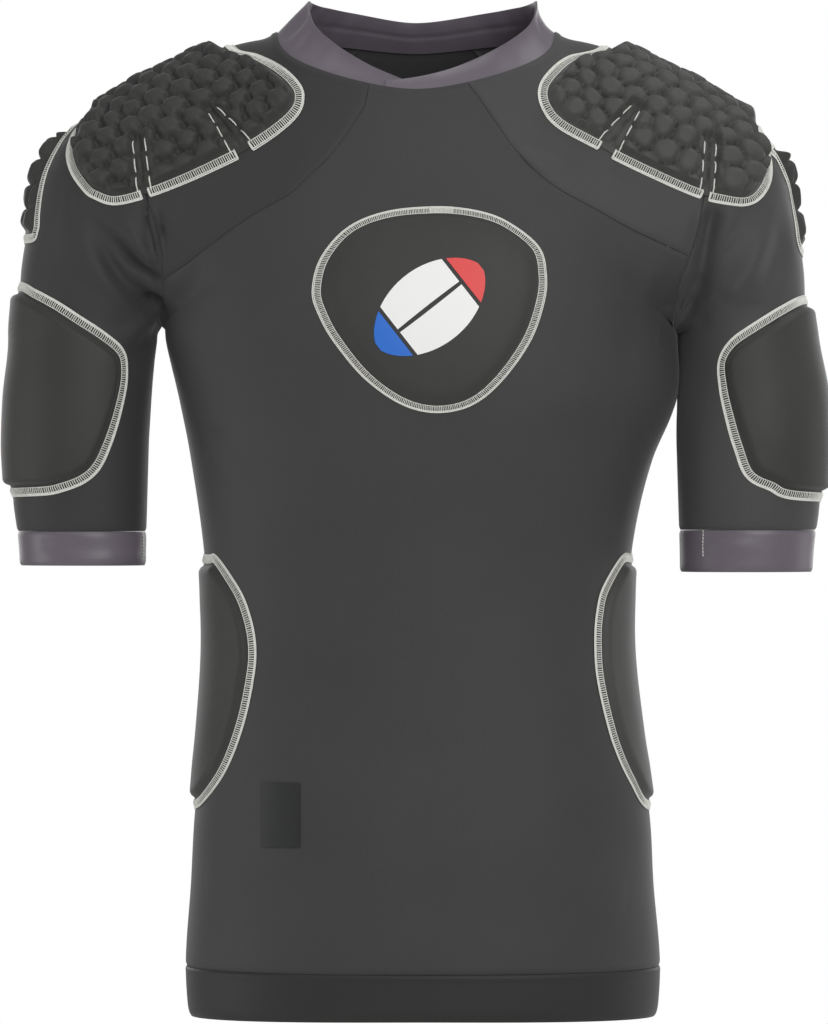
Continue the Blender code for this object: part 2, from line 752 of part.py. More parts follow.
def sleeve_turns(side, loop, count):
    """Angles of the armhole points about the sleeve, eased towards an even spread down the arm."""
    centre, outward = sleeve_station(side, np.zeros(1))
    rel = loop - centre[0]
    first = np.unwrap(np.arctan2(-rel[:, 1], rel @ outward[0]))
    first = first - 2 * math.pi * round((first[0] - math.pi) / (2 * math.pi))
    even = first[0] - np.arange(len(loop)) * 2 * math.pi / len(loop)
    share = 0.75 * ease(np.linspace(0, 1, count))[:, None]
    return first * (1 - share) + even * share


def make_sleeves(seams, jersey, satin):
    along = np.concatenate([
        np.radians(CAP_ANGLES) * CAP_ARC,
        ARM_START + np.linspace(0, ARMPIT_Z - CUFF_SEAM_Z, ARM_STEPS + 1)[1:],
    ])
    for side, word in ((-1, "right"), (1, "left")):
        s = seams[word]
        loop = np.vstack([s["low_front"][:-1], s["over"][:-1], s["low_back"][:-1]])
        turns = sleeve_turns(side, loop, len(along))
        rings = sleeve_rings(side, along, turns)
        rings[0] = loop
        cloth("sleeve_" + word, arm_gap, rings, ("bottom", "top"), jersey, ring=True)
        below = ARM_START + ARMPIT_Z - np.array([CUFF_SEAM_Z, (CUFF_SEAM_Z + CUFF_EDGE_Z) / 2, CUFF_EDGE_Z])
        cuff = sleeve_rings(side, below, np.repeat(turns[-1:], 3, axis=0))
        cuff[0] = rings[-1]
        cloth("cuff_" + word, arm_gap, cuff, ("bottom",), satin, ring=True)


def make_hem(seams, look):
    top = np.vstack([seams["hem_front"][:-1], seams["hem_back"][::-1][:-1]])
    turns = np.arctan2(top[:, 0] - TRUNK["lean"](HEM_SEAM_Z), -top[:, 1])
    lift = HEM_FRONT_LIFT * np.clip(np.cos(turns), 0, 1)
    rows = [top]
    for share in (0.5, 1.0):
        rows.append(trunk_ring(HEM_SEAM_Z + (HEM_EDGE_Z - HEM_SEAM_Z + lift) * share, turns))
    cloth("hem_band", body_gap, np.array(rows), ("bottom",), look, ring=True)


def make_collar(look):
    """One strip from its upper end in front, round the neck, to its lower end behind the upper one."""
    band = table(COLLAR_COLUMNS, COLLAR_ROWS)
    cross = -band["turn"][0]
    degrees = np.linspace(-cross, 360 + cross, COLLAR_STEPS + 1)
    from_front = np.minimum(degrees, 360 - degrees)
    turns = np.radians(degrees)
    width = curve_through(band["turn"], band["width"])(from_front)[:, None]
    lean = curve_through(band["turn"], band["lean"])(from_front)[:, None]
    base = neckline(turns) + 1.5 * SEAM_GAP * np.stack([-np.sin(turns), np.cos(turns), 0 * turns], axis=1)
    level = base * np.array([1.0, 1.0, 0.0])
    inward = -level / np.linalg.norm(level, axis=1, keepdims=True)
    rise = inward * lean + np.array([0.0, 0.0, 1.0]) * np.sqrt(1 - lean ** 2)
    lap = inward * ease((turns - (2 * math.pi - 0.75)) / 0.45)[:, None] * COLLAR_LAP
    rows = []
    for share in (0.0, 0.5, 1.0):
        belly = inward * 4 * share * (1 - share) * width * -0.07
        sway = share * np.abs(np.sin(turns))[:, None] * np.array([COLLAR_SWAY, 0.0, 0.0])
        rows.append(base + rise * (SEAM_GAP + (width - SEAM_GAP) * share) + belly + lap + sway)
    grid = np.array(rows)
    normals = np.cross(np.gradient(grid, axis=1), np.gradient(grid, axis=0))
    normals /= np.linalg.norm(normals, axis=2, keepdims=True)
    normals *= -np.sign((normals * inward[None]).sum(axis=2, keepdims=True))
    wall("collar", grid, normals, BAND_WALL, look)


def board_at(row, side, moved=(0.0, 0.0)):
    """A drawing board bent about a line inside the body: distance along the line, and distance round it.

    The side is -1 or 1 for a board that faces the wearer's right or left, and 0 for one that faces the front.
    """
    place = dict(zip(BOARD_COLUMNS, row))
    tilt = math.radians(place["tilt"])
    x = place["x"] * (side or 1) + moved[0]
    return {
        "origin": np.array([x, place["y"] + moved[1], place["z"]]),
        "along": np.array([side * math.sin(tilt), 0.0, -math.cos(tilt)]),
        "out": np.array([side * math.cos(tilt), 0.0, math.sin(tilt)]) if side else np.array([0.0, -1.0, 0.0]),
        "side": np.array([0.0, -1.0, 0.0]) if side else np.array([1.0, 0.0, 0.0]),
        "radius": place["radius"],
    }


def onto_board(board, p):
    rel = p - board["origin"]
    turn = np.arctan2(rel @ board["side"], rel @ board["out"])
    return np.stack([rel @ board["along"], turn * board["radius"]], axis=1)


def off_board(board, gap, flat):
    """Surface points and normals for places on the board."""
    turn = flat[:, 1] / board["radius"]
    start = board["origin"] + flat[:, :1] * board["along"]
    way = np.cos(turn)[:, None] * board["out"] + np.sin(turn)[:, None] * board["side"]
    p = first_crossing(gap, start, way, 0.22)
    return dressed(gap, p)


def closed_curve(points, step):
    """A smooth closed line through the points, in even steps."""
    count = len(points)
    t = np.linspace(0, 1, 25)[:-1, None]
    runs = []
    for i in range(count):
        a, b, c, d = (points[(i + k) % count] for k in (-1, 0, 1, 2))
        runs.append(0.5 * (2 * b + (c - a) * t + (2 * a - 5 * b + 4 * c - d) * t ** 2
                           + (3 * b - a - 3 * c + d) * t ** 3))
    line = np.vstack(runs + [runs[0][:1]])
    length = np.linalg.norm(np.diff(line, axis=0), axis=1).sum()
    return resample(line, max(12, int(round(length / step))))[:-1]


def outline_distance(points, outline):
    """Distance of each point inside the outline to its edge; negative outside."""
    a, b = outline, np.roll(outline, -1, axis=0)
    run = b - a
    rel = points[:, None] - a[None]
    share = np.clip((rel * run).sum(axis=2) / (run * run).sum(axis=1), 0, 1)
    away = np.linalg.norm(rel - share[..., None] * run, axis=2).min(axis=1)
    straddles = (a[:, 1] > points[:, 1:2]) != (b[:, 1] > points[:, 1:2])
    rise = np.where(run[:, 1] == 0, 1e-12, run[:, 1])
    crossing = a[:, 0] + (points[:, 1:2] - a[:, 1]) * run[:, 0] / rise
    inside = (straddles & (points[:, :1] < crossing)).sum(axis=1) % 2 == 1
    return np.where(inside, away, -away)


def cut_darts(outline, darts):
    """Takes a narrow notch out of the outline for each dart."""
    for mouth, tip, mouth_half, tip_half in darts:
        way = (tip - mouth) / np.linalg.norm(tip - mouth)
        across = np.array([-way[1], way[0]])
        near = np.linalg.norm(outline - mouth, axis=1)
        middle = int(np.argmin(near))
        outline = np.roll(outline, len(outline) // 2 - middle, axis=0)
        rel = outline - mouth
        cut = (np.abs(rel @ across) < mouth_half * 1.5) & (np.linalg.norm(rel, axis=1) < 0.03)
        at = np.flatnonzero(cut)
        travel = (outline[at[-1] + 1] - outline[at[0] - 1]) @ across
        across = across * np.sign(travel)
        base = mouth - way * 0.0005
        notch = np.array([
            base - across * mouth_half,
            tip - across * tip_half,
            tip + across * tip_half,
            base + across * mouth_half,
        ])
        outline = np.vstack([outline[: at[0]], notch, outline[at[-1] + 1:]])
    return outline


def triangulate(outline, inside, lines=()):
    """Triangles of the area within the outline that use all the points and the given lines between them."""
    flat = np.vstack([outline, inside]) if len(inside) else outline
    ring = list(range(len(outline)))
    area = np.sum(outline[:, 0] * np.roll(outline[:, 1], -1) - np.roll(outline[:, 0], -1) * outline[:, 1])
    if area < 0:
        ring = ring[::-1]
    edges = [(a + len(outline), b + len(outline)) for a, b in lines]
    made = delaunay_2d_cdt([Vector(p) for p in flat.tolist()], edges, [ring], 1, 1e-7)
    source = [ids[0] for ids in made[3]]
    return flat, [tuple(source[i] for i in face) for face in made[2]]


def hex_points(low, high, pitch):
    """Middles of a honeycomb that covers the rectangle."""
    row_step = pitch * math.sqrt(0.75)
    rows = np.arange(math.floor(low[1] / row_step) - 1, math.ceil(high[1] / row_step) + 2)
    cols = np.arange(math.floor(low[0] / pitch) - 1, math.ceil(high[0] / pitch) + 2)
    grid_rows, grid_cols = np.meshgrid(rows, cols, indexing="ij")
    x = (grid_cols + 0.5 * (grid_rows % 2)) * pitch
    return np.stack([x.ravel(), grid_rows.ravel() * row_step], axis=1)


def bubble_points(outline, foam, pitch):
    """Flat tops of the bubbles and the low corners between them, with their heights, and the low lines."""
    middles = hex_points(outline.min(axis=0), outline.max(axis=0), pitch)
    turns = np.radians(np.arange(6) * 60.0)
    ring = np.stack([np.cos(turns + math.pi / 6), np.sin(turns + math.pi / 6)], axis=1)
    up = np.array([0.0, pitch / math.sqrt(3)])
    corners = np.vstack([middles + up, middles - up])
    tops = (middles[:, None] + ring[None] * pitch * 0.33).reshape(-1, 2)
    flat = np.vstack([tops, corners])
    crest = np.concatenate([np.full(len(tops), foam["crest"]), np.full(len(corners), foam["valley"])])
    room = outline_distance(flat, outline)
    keep = room > 0.0035
    share = ease(room[keep] / foam["ramp"])
    low = np.flatnonzero(np.arange(len(flat))[keep] >= len(tops))
    spots = flat[keep][low]
    near = np.linalg.norm(spots[:, None] - spots[None], axis=2) < pitch * 0.6
    pairs = np.argwhere(np.triu(near, 1))
    shares = np.linspace(0, 1, 7)[:, None, None]
    along = spots[pairs[:, 0]] * (1 - shares) + spots[pairs[:, 1]] * shares
    clear = outline_distance(along.reshape(-1, 2), outline).reshape(7, -1).min(axis=0) > 0.001
    lines = [(int(low[a]), int(low[b])) for a, b in pairs[clear]]
    return flat[keep], foam["rim"] + (crest[keep] - foam["rim"]) * share, lines


def smooth_points(outline, foam):
    """A row of points inside the edge where the foam reaches its height, and a few across the middle."""
    ahead, behind = np.roll(outline, -1, axis=0), np.roll(outline, 1, axis=0)
    run = ahead - behind
    inward = np.stack([-run[:, 1], run[:, 0]], axis=1) / np.linalg.norm(run, axis=1, keepdims=True)
    if outline_distance(outline[:1] + inward[:1] * 0.002, outline)[0] < 0:
        inward = -inward
    shoulder = outline[::2] + inward[::2] * foam["ramp"] * 0.55
    flat_top = outline[1::3] + inward[1::3] * foam["ramp"] * 1.5
    middle = hex_points(outline.min(axis=0), outline.max(axis=0), 0.030)
    room = outline_distance(middle, outline)
    middle = middle[room > foam["ramp"] * 2.2]
    flat = np.vstack([shoulder, flat_top, middle])
    height = np.concatenate([
        np.full(len(shoulder), foam["rim"] + (foam["valley"] - foam["rim"]) * 0.86),
        np.full(len(flat_top), foam["valley"]),
        np.full(len(middle), foam["crest"]),
    ])
    room = outline_distance(flat, outline)
    keep = room > 0.004
    return flat[keep], height[keep]


def pad(name, board, gap, outline, inside, height, foam, look, lines=()):
    """A pad that lies on the cloth: shaped outside, plain underside, and a low rim between them."""
    flat, outer_faces = triangulate(outline, inside, lines)
    spare = hex_points(outline.min(axis=0), outline.max(axis=0), foam["under"])
    spare = spare[outline_distance(spare, outline) > 0.006]
    under_flat, under_faces = triangulate(outline, spare)
    rise = np.concatenate([np.full(len(outline), foam["rim"]), height])
    points, normals = off_board(board, gap, flat)
    outer = points + normals * (foam["seat"] + rise)[:, None]
    points, normals = off_board(board, gap, under_flat)
    under = points + normals * foam["seat"]
    count, edge = len(outer), len(outline)
    faces = list(outer_faces)
    faces += [tuple(count + i for i in reversed(face)) for face in under_faces]
    faces += [(i, (i + 1) % edge, count + (i + 1) % edge, count + i) for i in range(edge)]
    return add_solid(name, np.vstack([outer, under]), faces, look)


def both_halves(half):
    """The half outline and its mirror image beyond the middle line, as one closed outline."""
    mirrored = half[::-1] * np.array([1.0, -1.0])
    return np.vstack([half, mirrored])


def drawn(board, gap, rows, side):
    """An outline table on the board."""
    rows = table(OUTLINE_COLUMNS, rows)
    return onto_board(board, seen_at("front", side * rows["x"], rows["z"], gap))


def make_shoulder_pads(look):
    foam = dict(zip(PAD_COLUMNS, BUBBLE_PAD))
    for side, word in ((-1, "right"), (1, "left")):
        board = board_at(SHOULDER_BOARD, side)
        outline = closed_curve(both_halves(drawn(board, top_gap, SHOULDER_PAD[word], side)), OUTLINE_STEP)
        darts = []
        for row in DARTS[word]:
            dart = dict(zip(DART_COLUMNS, row))
            x = side * np.array([dart["mouth_x"], dart["tip_x"]])
            ends = seen_at("front", x, [dart["mouth_z"], dart["tip_z"]])
            mouth, tip = onto_board(board, ends)
            darts.append((mouth, tip, dart["mouth_half"], dart["tip_half"]))
        outline = cut_darts(outline, darts)
        inside, height, lines = bubble_points(outline, foam, CELL_PITCH)
        pad("shoulder_pad_" + word, board, top_gap, outline, inside, height, foam, look, lines)


def make_arm_cap_pads(look):
    foam = dict(zip(PAD_COLUMNS, CAP_BUBBLE_PAD))
    for side, word in ((-1, "right"), (1, "left")):
        board = board_at(ARM_CAP_BOARD, side)
        half = drawn(board, top_gap, ARM_CAP_PAD[word], side)
        outline = closed_curve(both_halves(half), OUTLINE_STEP)
        inside, height, lines = bubble_points(outline, foam, CELL_PITCH)
        pad("arm_cap_pad_" + word, board, top_gap, outline, inside, height, foam, look, lines)


def make_biceps_pads(look):
    foam = dict(zip(PAD_COLUMNS, BICEPS_FOAM))
    for side, word in ((-1, "right"), (1, "left")):
        board = board_at(BICEPS_BOARD, side, SWING_LEFT if side > 0 else (0.0, 0.0))
        half = drawn(board, arm_gap, BICEPS_PAD[word], side)
        outline = closed_curve(both_halves(half), SMOOTH_OUTLINE_STEP)
        inside, height = smooth_points(outline, foam)
        pad("biceps_pad_" + word, board, arm_gap, outline, inside, height, foam, look)


def make_rib_pads(look):
    foam = dict(zip(PAD_COLUMNS, RIB_FOAM))
    for side, word in ((-1, "right"), (1, "left")):
        board = board_at(RIB_BOARD, side, (RIB_BOARD_SHIFT, 0.0))
        half = drawn(board, body_gap, RIB_PAD[word], side)
        outline = closed_curve(both_halves(half), SMOOTH_OUTLINE_STEP)
        inside, height = smooth_points(outline, foam)
        pad("rib_pad_" + word, board, body_gap, outline, inside, height, foam, look)


def make_chest_pad(look):
    foam = dict(zip(PAD_COLUMNS, CHEST_FOAM))
    board = board_at(CHEST_BOARD, 0)
    outline = closed_curve(drawn(board, body_gap, CHEST_PAD, 1), SMOOTH_OUTLINE_STEP)
    inside, height = smooth_points(outline, foam)
    pad("chest_pad", board, body_gap, outline, inside, height, foam, look)


def make_label(look):
    x1, x2, z1, z2 = LABEL_BOX
    board = board_at(LABEL_BOARD, 0)
    frame = np.array([(x1, z1), (x2, z1), (x2, z2), (x1, z2), (x1, z1)])
    edge = np.vstack([resample(frame[i : i + 2], 3)[:-1] for i in range(4)])
    outline = onto_board(board, seen_at("front", edge[:, 0], edge[:, 1], body_gap))
    film = dict(zip(PAD_COLUMNS, LABEL_FILM))
    pad("label", board, body_gap, outline, np.empty((0, 2)), np.empty(0), film, look)


def main():
    for old in list(bpy.data.objects):
        bpy.data.objects.remove(old, do_unlink=True)
    jersey = material("charcoal_stretch_jersey", CHARCOAL, 0.62)
    padding = material("charcoal_jersey_over_foam", PAD_CHARCOAL, 0.60)
    satin = material("mauve_grey_satin_jersey", MAUVE_GREY, 0.45)
    film = material("dark_label_film", LABEL_DARK, 0.50)
    seams = make_layout()
    make_panels(seams, jersey)
    make_sleeves(seams, jersey, satin)
    make_hem(seams, jersey)
    make_collar(satin)
    make_shoulder_pads(padding)
    make_arm_cap_pads(padding)
    make_biceps_pads(padding)
    make_rib_pads(padding)
    make_chest_pad(padding)
    make_label(film)


main()
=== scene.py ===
import math
import bpy
import numpy as np
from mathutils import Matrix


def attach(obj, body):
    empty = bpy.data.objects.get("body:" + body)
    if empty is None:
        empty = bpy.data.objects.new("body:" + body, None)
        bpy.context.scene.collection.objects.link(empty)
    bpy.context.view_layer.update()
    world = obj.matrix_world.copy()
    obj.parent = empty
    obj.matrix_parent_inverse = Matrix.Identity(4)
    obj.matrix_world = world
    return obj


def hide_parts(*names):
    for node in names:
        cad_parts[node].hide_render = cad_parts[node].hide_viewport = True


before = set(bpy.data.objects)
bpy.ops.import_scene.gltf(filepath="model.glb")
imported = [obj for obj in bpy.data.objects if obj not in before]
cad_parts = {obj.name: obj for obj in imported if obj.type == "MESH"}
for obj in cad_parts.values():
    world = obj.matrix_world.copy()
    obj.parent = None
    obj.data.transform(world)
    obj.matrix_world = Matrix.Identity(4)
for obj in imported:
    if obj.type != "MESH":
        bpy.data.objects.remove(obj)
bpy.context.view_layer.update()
print("frame: %d nodes" % len(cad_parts))

# The filled-out form that the cloth lies on, in metres, as in the part's source. Trunk sections by level:
# half width, reach forward, reach backward, sideways sway.
trunkRows = np.array([
    (-0.730, 0.1660, 0.110, 0.112, 0.0050), (-0.6725, 0.1706, 0.112, 0.114, 0.0050),
    (-0.608, 0.1663, 0.110, 0.112, 0.0045), (-0.5645, 0.1640, 0.108, 0.108, 0.0045),
    (-0.500, 0.1555, 0.105, 0.102, 0.0028), (-0.430, 0.1502, 0.103, 0.097, 0.0014),
    (-0.370, 0.1540, 0.104, 0.097, 0.0014), (-0.3053, 0.1660, 0.110, 0.104, 0.0042),
    (-0.262, 0.1782, 0.114, 0.110, 0.0088), (-0.2165, 0.1795, 0.114, 0.115, 0.0030),
    (-0.170, 0.1780, 0.109, 0.115, 0.0008), (-0.120, 0.1680, 0.098, 0.110, 0.0),
    (-0.070, 0.1480, 0.085, 0.098, 0.0), (-0.030, 0.1250, 0.073, 0.081, 0.0),
    (0.000, 0.1000, 0.060, 0.066, 0.0), (0.030, 0.0850, 0.050, 0.055, 0.0),
])
# Shoulder by distance from the middle (top level, front, back), sleeve head by angle about the armpit (outer
# reach, front, back), arm by level (inner side, outer side, front, back)
shoulderRows = np.array([
    (0.060, -0.0015, 0.058, 0.068), (0.100, -0.0014, 0.060, 0.070),
    (0.136, -0.0085, 0.062, 0.072), (0.163, -0.0207, 0.064, 0.073),
])
headRows = np.array([
    (0, 0.1850, 0.065, 0.073), (12, 0.1688, 0.064, 0.072), (22, 0.1628, 0.063, 0.070),
    (29, 0.1540, 0.062, 0.069), (37, 0.1425, 0.061, 0.067), (45, 0.1295, 0.060, 0.065),
    (55, 0.1180, 0.058, 0.062), (65, 0.1100, 0.057, 0.060), (75, 0.1040, 0.056, 0.057),
])
armRows = np.array([
    (-0.2165, 0.1905, 0.2855, 0.056, 0.054), (-0.262, 0.1912, 0.2895, 0.058, 0.050),
    (-0.300, 0.1922, 0.2905, 0.058, 0.046), (-0.338, 0.1932, 0.2890, 0.056, 0.040),
    (-0.360, 0.1938, 0.2860, 0.054, 0.037), (-0.390, 0.1942, 0.2840, 0.053, 0.036),
])
# Shares and distances: rounding of the web and where shoulders and trunk blend, less so towards the neck;
# how the left sleeve hangs; how the outside of its head is tucked in
form = {
    "armpitX": 0.1845, "armpitZ": -0.2165, "webRadius": 0.006, "headArc": 0.11,
    "trunkPower": 2.35, "sleevePower": 2.15, "blend": 0.030, "blendRise": 0.050,
    "neckBlend": 0.75, "neckFrom": -0.12, "neckSpan": 0.07,
    "swing": (-0.0025, -0.010, -0.0045), "wider": 0.05, "swingRise": 0.010, "swingDrop": 0.090,
    "tuck": -0.0050, "tuckTop": -0.055, "tuckEnd": -0.190, "tuckEase": 0.070,
}
armpitX, armpitZ, headArc = form["armpitX"], form["armpitZ"], form["headArc"]
armStart = math.pi / 2 * headArc
hemSeam, hemEdge, cuffEdge = -0.6685, -0.7050, -0.3815
cuffSeams = {"right": -0.3570, "left": -0.3515}
sides = {"right": -1, "left": 1}
# How far from the inside each search for the surface goes
searchReach = {"sleeve": 0.2, "trunk": 0.25, "board": 0.22}


def ease(t):
    t = np.clip(t, 0.0, 1.0)
    return t * t * (3 - 2 * t)


def unit(v):
    return v / np.linalg.norm(v, axis=-1, keepdims=True)


# A smooth line through rows of values: cubic pieces whose slopes come from the neighbouring rows
def curveThrough(knots, values):
    slopes = np.gradient(values, knots, axis=0)

    def at(t):
        t = np.clip(t, knots[0], knots[-1])
        i = np.clip(np.searchsorted(knots, t) - 1, 0, len(knots) - 2)
        span = (knots[i + 1] - knots[i])[..., None]
        f = (t - knots[i])[..., None] / span
        start = (1 + 2 * f) * (1 - f) ** 2 * values[i] + f * (1 - f) ** 2 * span * slopes[i]
        return start + f * f * (3 - 2 * f) * values[i + 1] + f * f * (f - 1) * span * slopes[i + 1]

    return at


trunkAt = curveThrough(trunkRows[:, 0], trunkRows[:, 1:])
sleeveAlong = np.concatenate([shoulderRows[:, 0] - armpitX, np.radians(headRows[:, 0]) * headArc,
                              armStart + armpitZ - armRows[:, 0]])
shoulderTable = np.insert(shoulderRows[:, 1:] - [armpitZ, 0, 0], 0, form["webRadius"], axis=1)
headTable = np.insert(headRows[:, 1:], 0, form["webRadius"], axis=1)
armTable = armRows[:, 1:] - [armpitX, armpitX, 0, 0]
sleeveAt = curveThrough(sleeveAlong, np.vstack([shoulderTable, headTable, armTable]))


# Rough distance outside the trunk: each level is a rounded-square oval with its own depth before and behind
def trunkGap(p):
    x, y, z = p.T
    half, front, back, lean = trunkAt(z).T
    deep = np.where(y < 0, front, back)
    ring = np.abs((x - lean) / half) ** form["trunkPower"] + np.abs(y / deep) ** form["trunkPower"]
    return (ring ** (1 / form["trunkPower"]) - 1) * np.minimum(half, deep)


# The wearer's left sleeve hangs a little inward, forward and lower, and the outside of its head is tucked in
def swingAt(x, z):
    share = ease((armpitZ + form["swingRise"] - z) / form["swingDrop"]) * (x > 0)
    tuck = form["tuck"] * ease((form["tuckTop"] - z) / form["tuckEase"])
    tuck = tuck * (1 - ease((form["tuckEnd"] - z) / form["tuckEase"]))
    tuck = tuck * ease((x - armpitX) / form["tuckEase"])
    sideways, forward, down = (part * share for part in form["swing"])
    return sideways + tuck, forward, down, 1 + form["wider"] * share


# Rough distance outside shoulders and sleeves: ovals strung along a line that turns down about the armpit
def sleeveGap(p):
    x, y, z = p.T
    swingX, swingY, swingZ, wider = swingAt(x, z)
    dx, dz = np.abs(x) - swingX - armpitX, z - swingZ - armpitZ
    head, arm = (dx >= 0) & (dz >= 0), (dx >= 0) & (dz < 0)
    turn = np.arctan2(np.maximum(dx, 0), np.where(head, dz, 1.0)) * headArc
    along = np.where(head, turn, np.where(arm, armStart - dz, dx))
    reach = np.where(head, np.hypot(dx, dz), np.where(arm, dx, dz))
    inner, outer, front, back = sleeveAt(along).T
    half, deep = (outer - inner) / 2 * wider, (front + back) / 2
    ring = np.abs((reach - (inner + outer) / 2) / half) ** form["sleevePower"]
    ring = ring + np.abs((y - swingY - (back - front) / 2) / deep) ** form["sleevePower"]
    return (ring ** (1 / form["sleevePower"]) - 1) * np.minimum(half, deep)


# The whole form above the armpits: the nearer of the two, rounded where they meet
def topGap(p):
    a, b, z = trunkGap(p), sleeveGap(p), p[:, 2]
    soft = form["blend"] * ease((z - armpitZ) / form["blendRise"])
    soft = soft * (1 - form["neckBlend"] * ease((z - form["neckFrom"]) / form["neckSpan"])) + 1e-9
    near = np.clip(1 - np.abs(a - b) / soft, 0, None)
    return np.minimum(a, b) - near * near * soft / 4


def bodyGap(p):
    return np.where(p[:, 2] > armpitZ, topGap(p), trunkGap(p))


def armGap(p):
    return np.where(p[:, 2] > armpitZ, topGap(p), sleeveGap(p))


def slopeOf(gap, p):
    step = 1e-4
    return np.stack([(gap(p + a) - gap(p - a)) / (2 * step) for a in np.eye(3) * step], axis=1)


# The first place where each line crosses the surface: march in even steps, then halve the last step
def firstCrossing(gap, start, way, reach, steps=60, halvings=18):
    sign = np.sign(gap(start))
    low, high = np.zeros(len(start)), np.full(len(start), reach)
    found = np.zeros(len(start), bool)
    for k in range(1, steps + 1):
        crossed = ~found & (np.sign(gap(start + way * (reach * k / steps))) != sign)
        high[crossed], low[crossed] = reach * k / steps, reach * (k - 1) / steps
        found |= crossed
    for _ in range(halvings):
        mid = (low + high) / 2
        same = np.sign(gap(start + way * mid[:, None])) == sign
        low, high = np.where(same, mid, low), np.where(same, high, mid)
    return start + way * high[:, None]


# The place on the surface seen straight from the front or from behind
sight = {"from": 0.30, "reach": 0.45, "steps": 150}


def seenAt(face, x, z, gap):
    x, z = np.broadcast_arrays(np.asarray(x, float), np.asarray(z, float))
    far = -sight["from"] if face == "front" else sight["from"]
    start = np.stack([x, np.full(x.shape, far), z], axis=1)
    way = np.tile([0.0, -np.sign(far), 0.0], (len(x), 1))
    return firstCrossing(gap, start, way, sight["reach"], sight["steps"])


# Main creases, placed from the photo and likewise on the hidden back. Each runs on the surface from
# one place to another as seen from that face, bowed sideways, with its half width and its height (a trough if
# negative); it swells quickly at its start and fades towards its end.
foldShape = {"points": 7, "swell": 0.2, "start": 0.35, "fade": 0.85, "fadeFrom": 0.35, "facing": 1.6,
             "onSleeve": 0.004}
foldColumns = ("face", "x1", "z1", "x2", "z2", "bow", "width", "height")
foldRows = (
    ("front", -0.1797, -0.201, -0.2340, -0.133, 0.006, 0.0064, -0.0120),
    ("front", -0.1818, -0.182, -0.2300, -0.128, 0.004, 0.0056, -0.0100),
    ("front", -0.1889, -0.192, -0.2174, -0.153, 0.004, 0.0050, 0.0056),
    ("front", -0.1875, -0.167, -0.2067, -0.132, 0.003, 0.0048, 0.0048),
    ("front", -0.1918, -0.121, -0.1832, -0.168, -0.002, 0.0028, -0.0044),
    ("front", -0.1875, -0.124, -0.1797, -0.166, -0.001, 0.0028, 0.0030),
    ("front", -0.1840, -0.132, -0.1768, -0.163, 0.001, 0.0026, -0.0034),
    ("front", -0.1818, -0.214, -0.2046, -0.239, -0.004, 0.0080, -0.0036),
    ("front", -0.1904, -0.208, -0.2103, -0.224, -0.003, 0.0080, 0.0030),
    ("front", -0.2472, -0.111, -0.2529, -0.150, 0.002, 0.0052, 0.0016),
    ("front", -0.2401, -0.111, -0.2444, -0.148, 0.001, 0.0050, -0.0016),
    ("front", -0.166, -0.200, -0.140, -0.160, 0.003, 0.0110, -0.0020),
    ("front", -0.150, -0.287, -0.136, -0.301, 0.003, 0.0060, -0.0014),
    ("front", -0.150, -0.300, -0.118, -0.335, 0.004, 0.0090, 0.0012),
    ("front", 0.2039, -0.126, 0.1955, -0.180, -0.002, 0.0042, 0.0046),
    ("front", 0.2125, -0.126, 0.2020, -0.204, -0.003, 0.0072, -0.0092),
    ("front", 0.2011, -0.174, 0.1861, -0.256, -0.004, 0.0064, -0.0070),
    ("front", 0.2200, -0.192, 0.2531, -0.127, -0.005, 0.0085, 0.0056),
    ("front", 0.2124, -0.157, 0.2337, -0.130, -0.003, 0.0050, -0.0024),
    ("front", 0.2620, -0.142, 0.2330, -0.204, 0.005, 0.0090, -0.0030),
    ("front", 0.2400, -0.196, 0.2560, -0.160, 0.004, 0.0085, 0.0020),
    ("front", 0.1753, -0.211, 0.1704, -0.226, 0.001, 0.0042, -0.0022),
    ("front", 0.1507, -0.194, 0.1451, -0.261, 0.003, 0.0160, -0.0026),
    ("front", 0.168, -0.170, 0.150, -0.205, 0.003, 0.0090, 0.0016),
    ("front", 0.0697, -0.088, 0.1155, -0.120, 0.005, 0.0052, 0.0022),
    ("front", 0.0803, -0.081, 0.1296, -0.113, 0.004, 0.0060, -0.0016),
    ("front", 0.150, -0.300, 0.120, -0.330, -0.004, 0.0100, 0.0013),
    ("front", -0.268, -0.366, -0.224, -0.371, 0.002, 0.0042, -0.0014),
    ("front", -0.198, -0.371, -0.240, -0.378, 0.002, 0.0048, 0.0012),
    ("front", 0.206, -0.3600, 0.240, -0.3615, 0.001, 0.0026, -0.0015),
    ("front", 0.206, -0.3660, 0.252, -0.3710, 0.002, 0.0052, 0.0012),
    ("front", -0.150, -0.600, -0.100, -0.615, 0.003, 0.0120, 0.0010),
    ("front", 0.150, -0.618, 0.086, -0.606, -0.003, 0.0130, 0.0011),
    ("back", -0.184, -0.196, -0.222, -0.150, 0.005, 0.0070, -0.0068),
    ("back", -0.186, -0.182, -0.206, -0.140, 0.003, 0.0060, 0.0028),
    ("back", -0.168, -0.198, -0.138, -0.150, 0.004, 0.0110, -0.0026),
    ("back", 0.184, -0.194, 0.226, -0.146, -0.005, 0.0070, -0.0068),
    ("back", 0.188, -0.180, 0.208, -0.132, 0.003, 0.0065, 0.0028),
    ("back", 0.166, -0.200, 0.142, -0.154, -0.004, 0.0110, -0.0026),
    ("back", -0.130, -0.470, -0.050, -0.492, 0.006, 0.0110, -0.0032),
    ("back", -0.120, -0.500, -0.020, -0.516, 0.005, 0.0120, 0.0030),
    ("back", 0.135, -0.455, 0.040, -0.478, -0.006, 0.0110, -0.0030),
    ("back", 0.110, -0.515, 0.015, -0.540, 0.004, 0.0130, 0.0028),
)


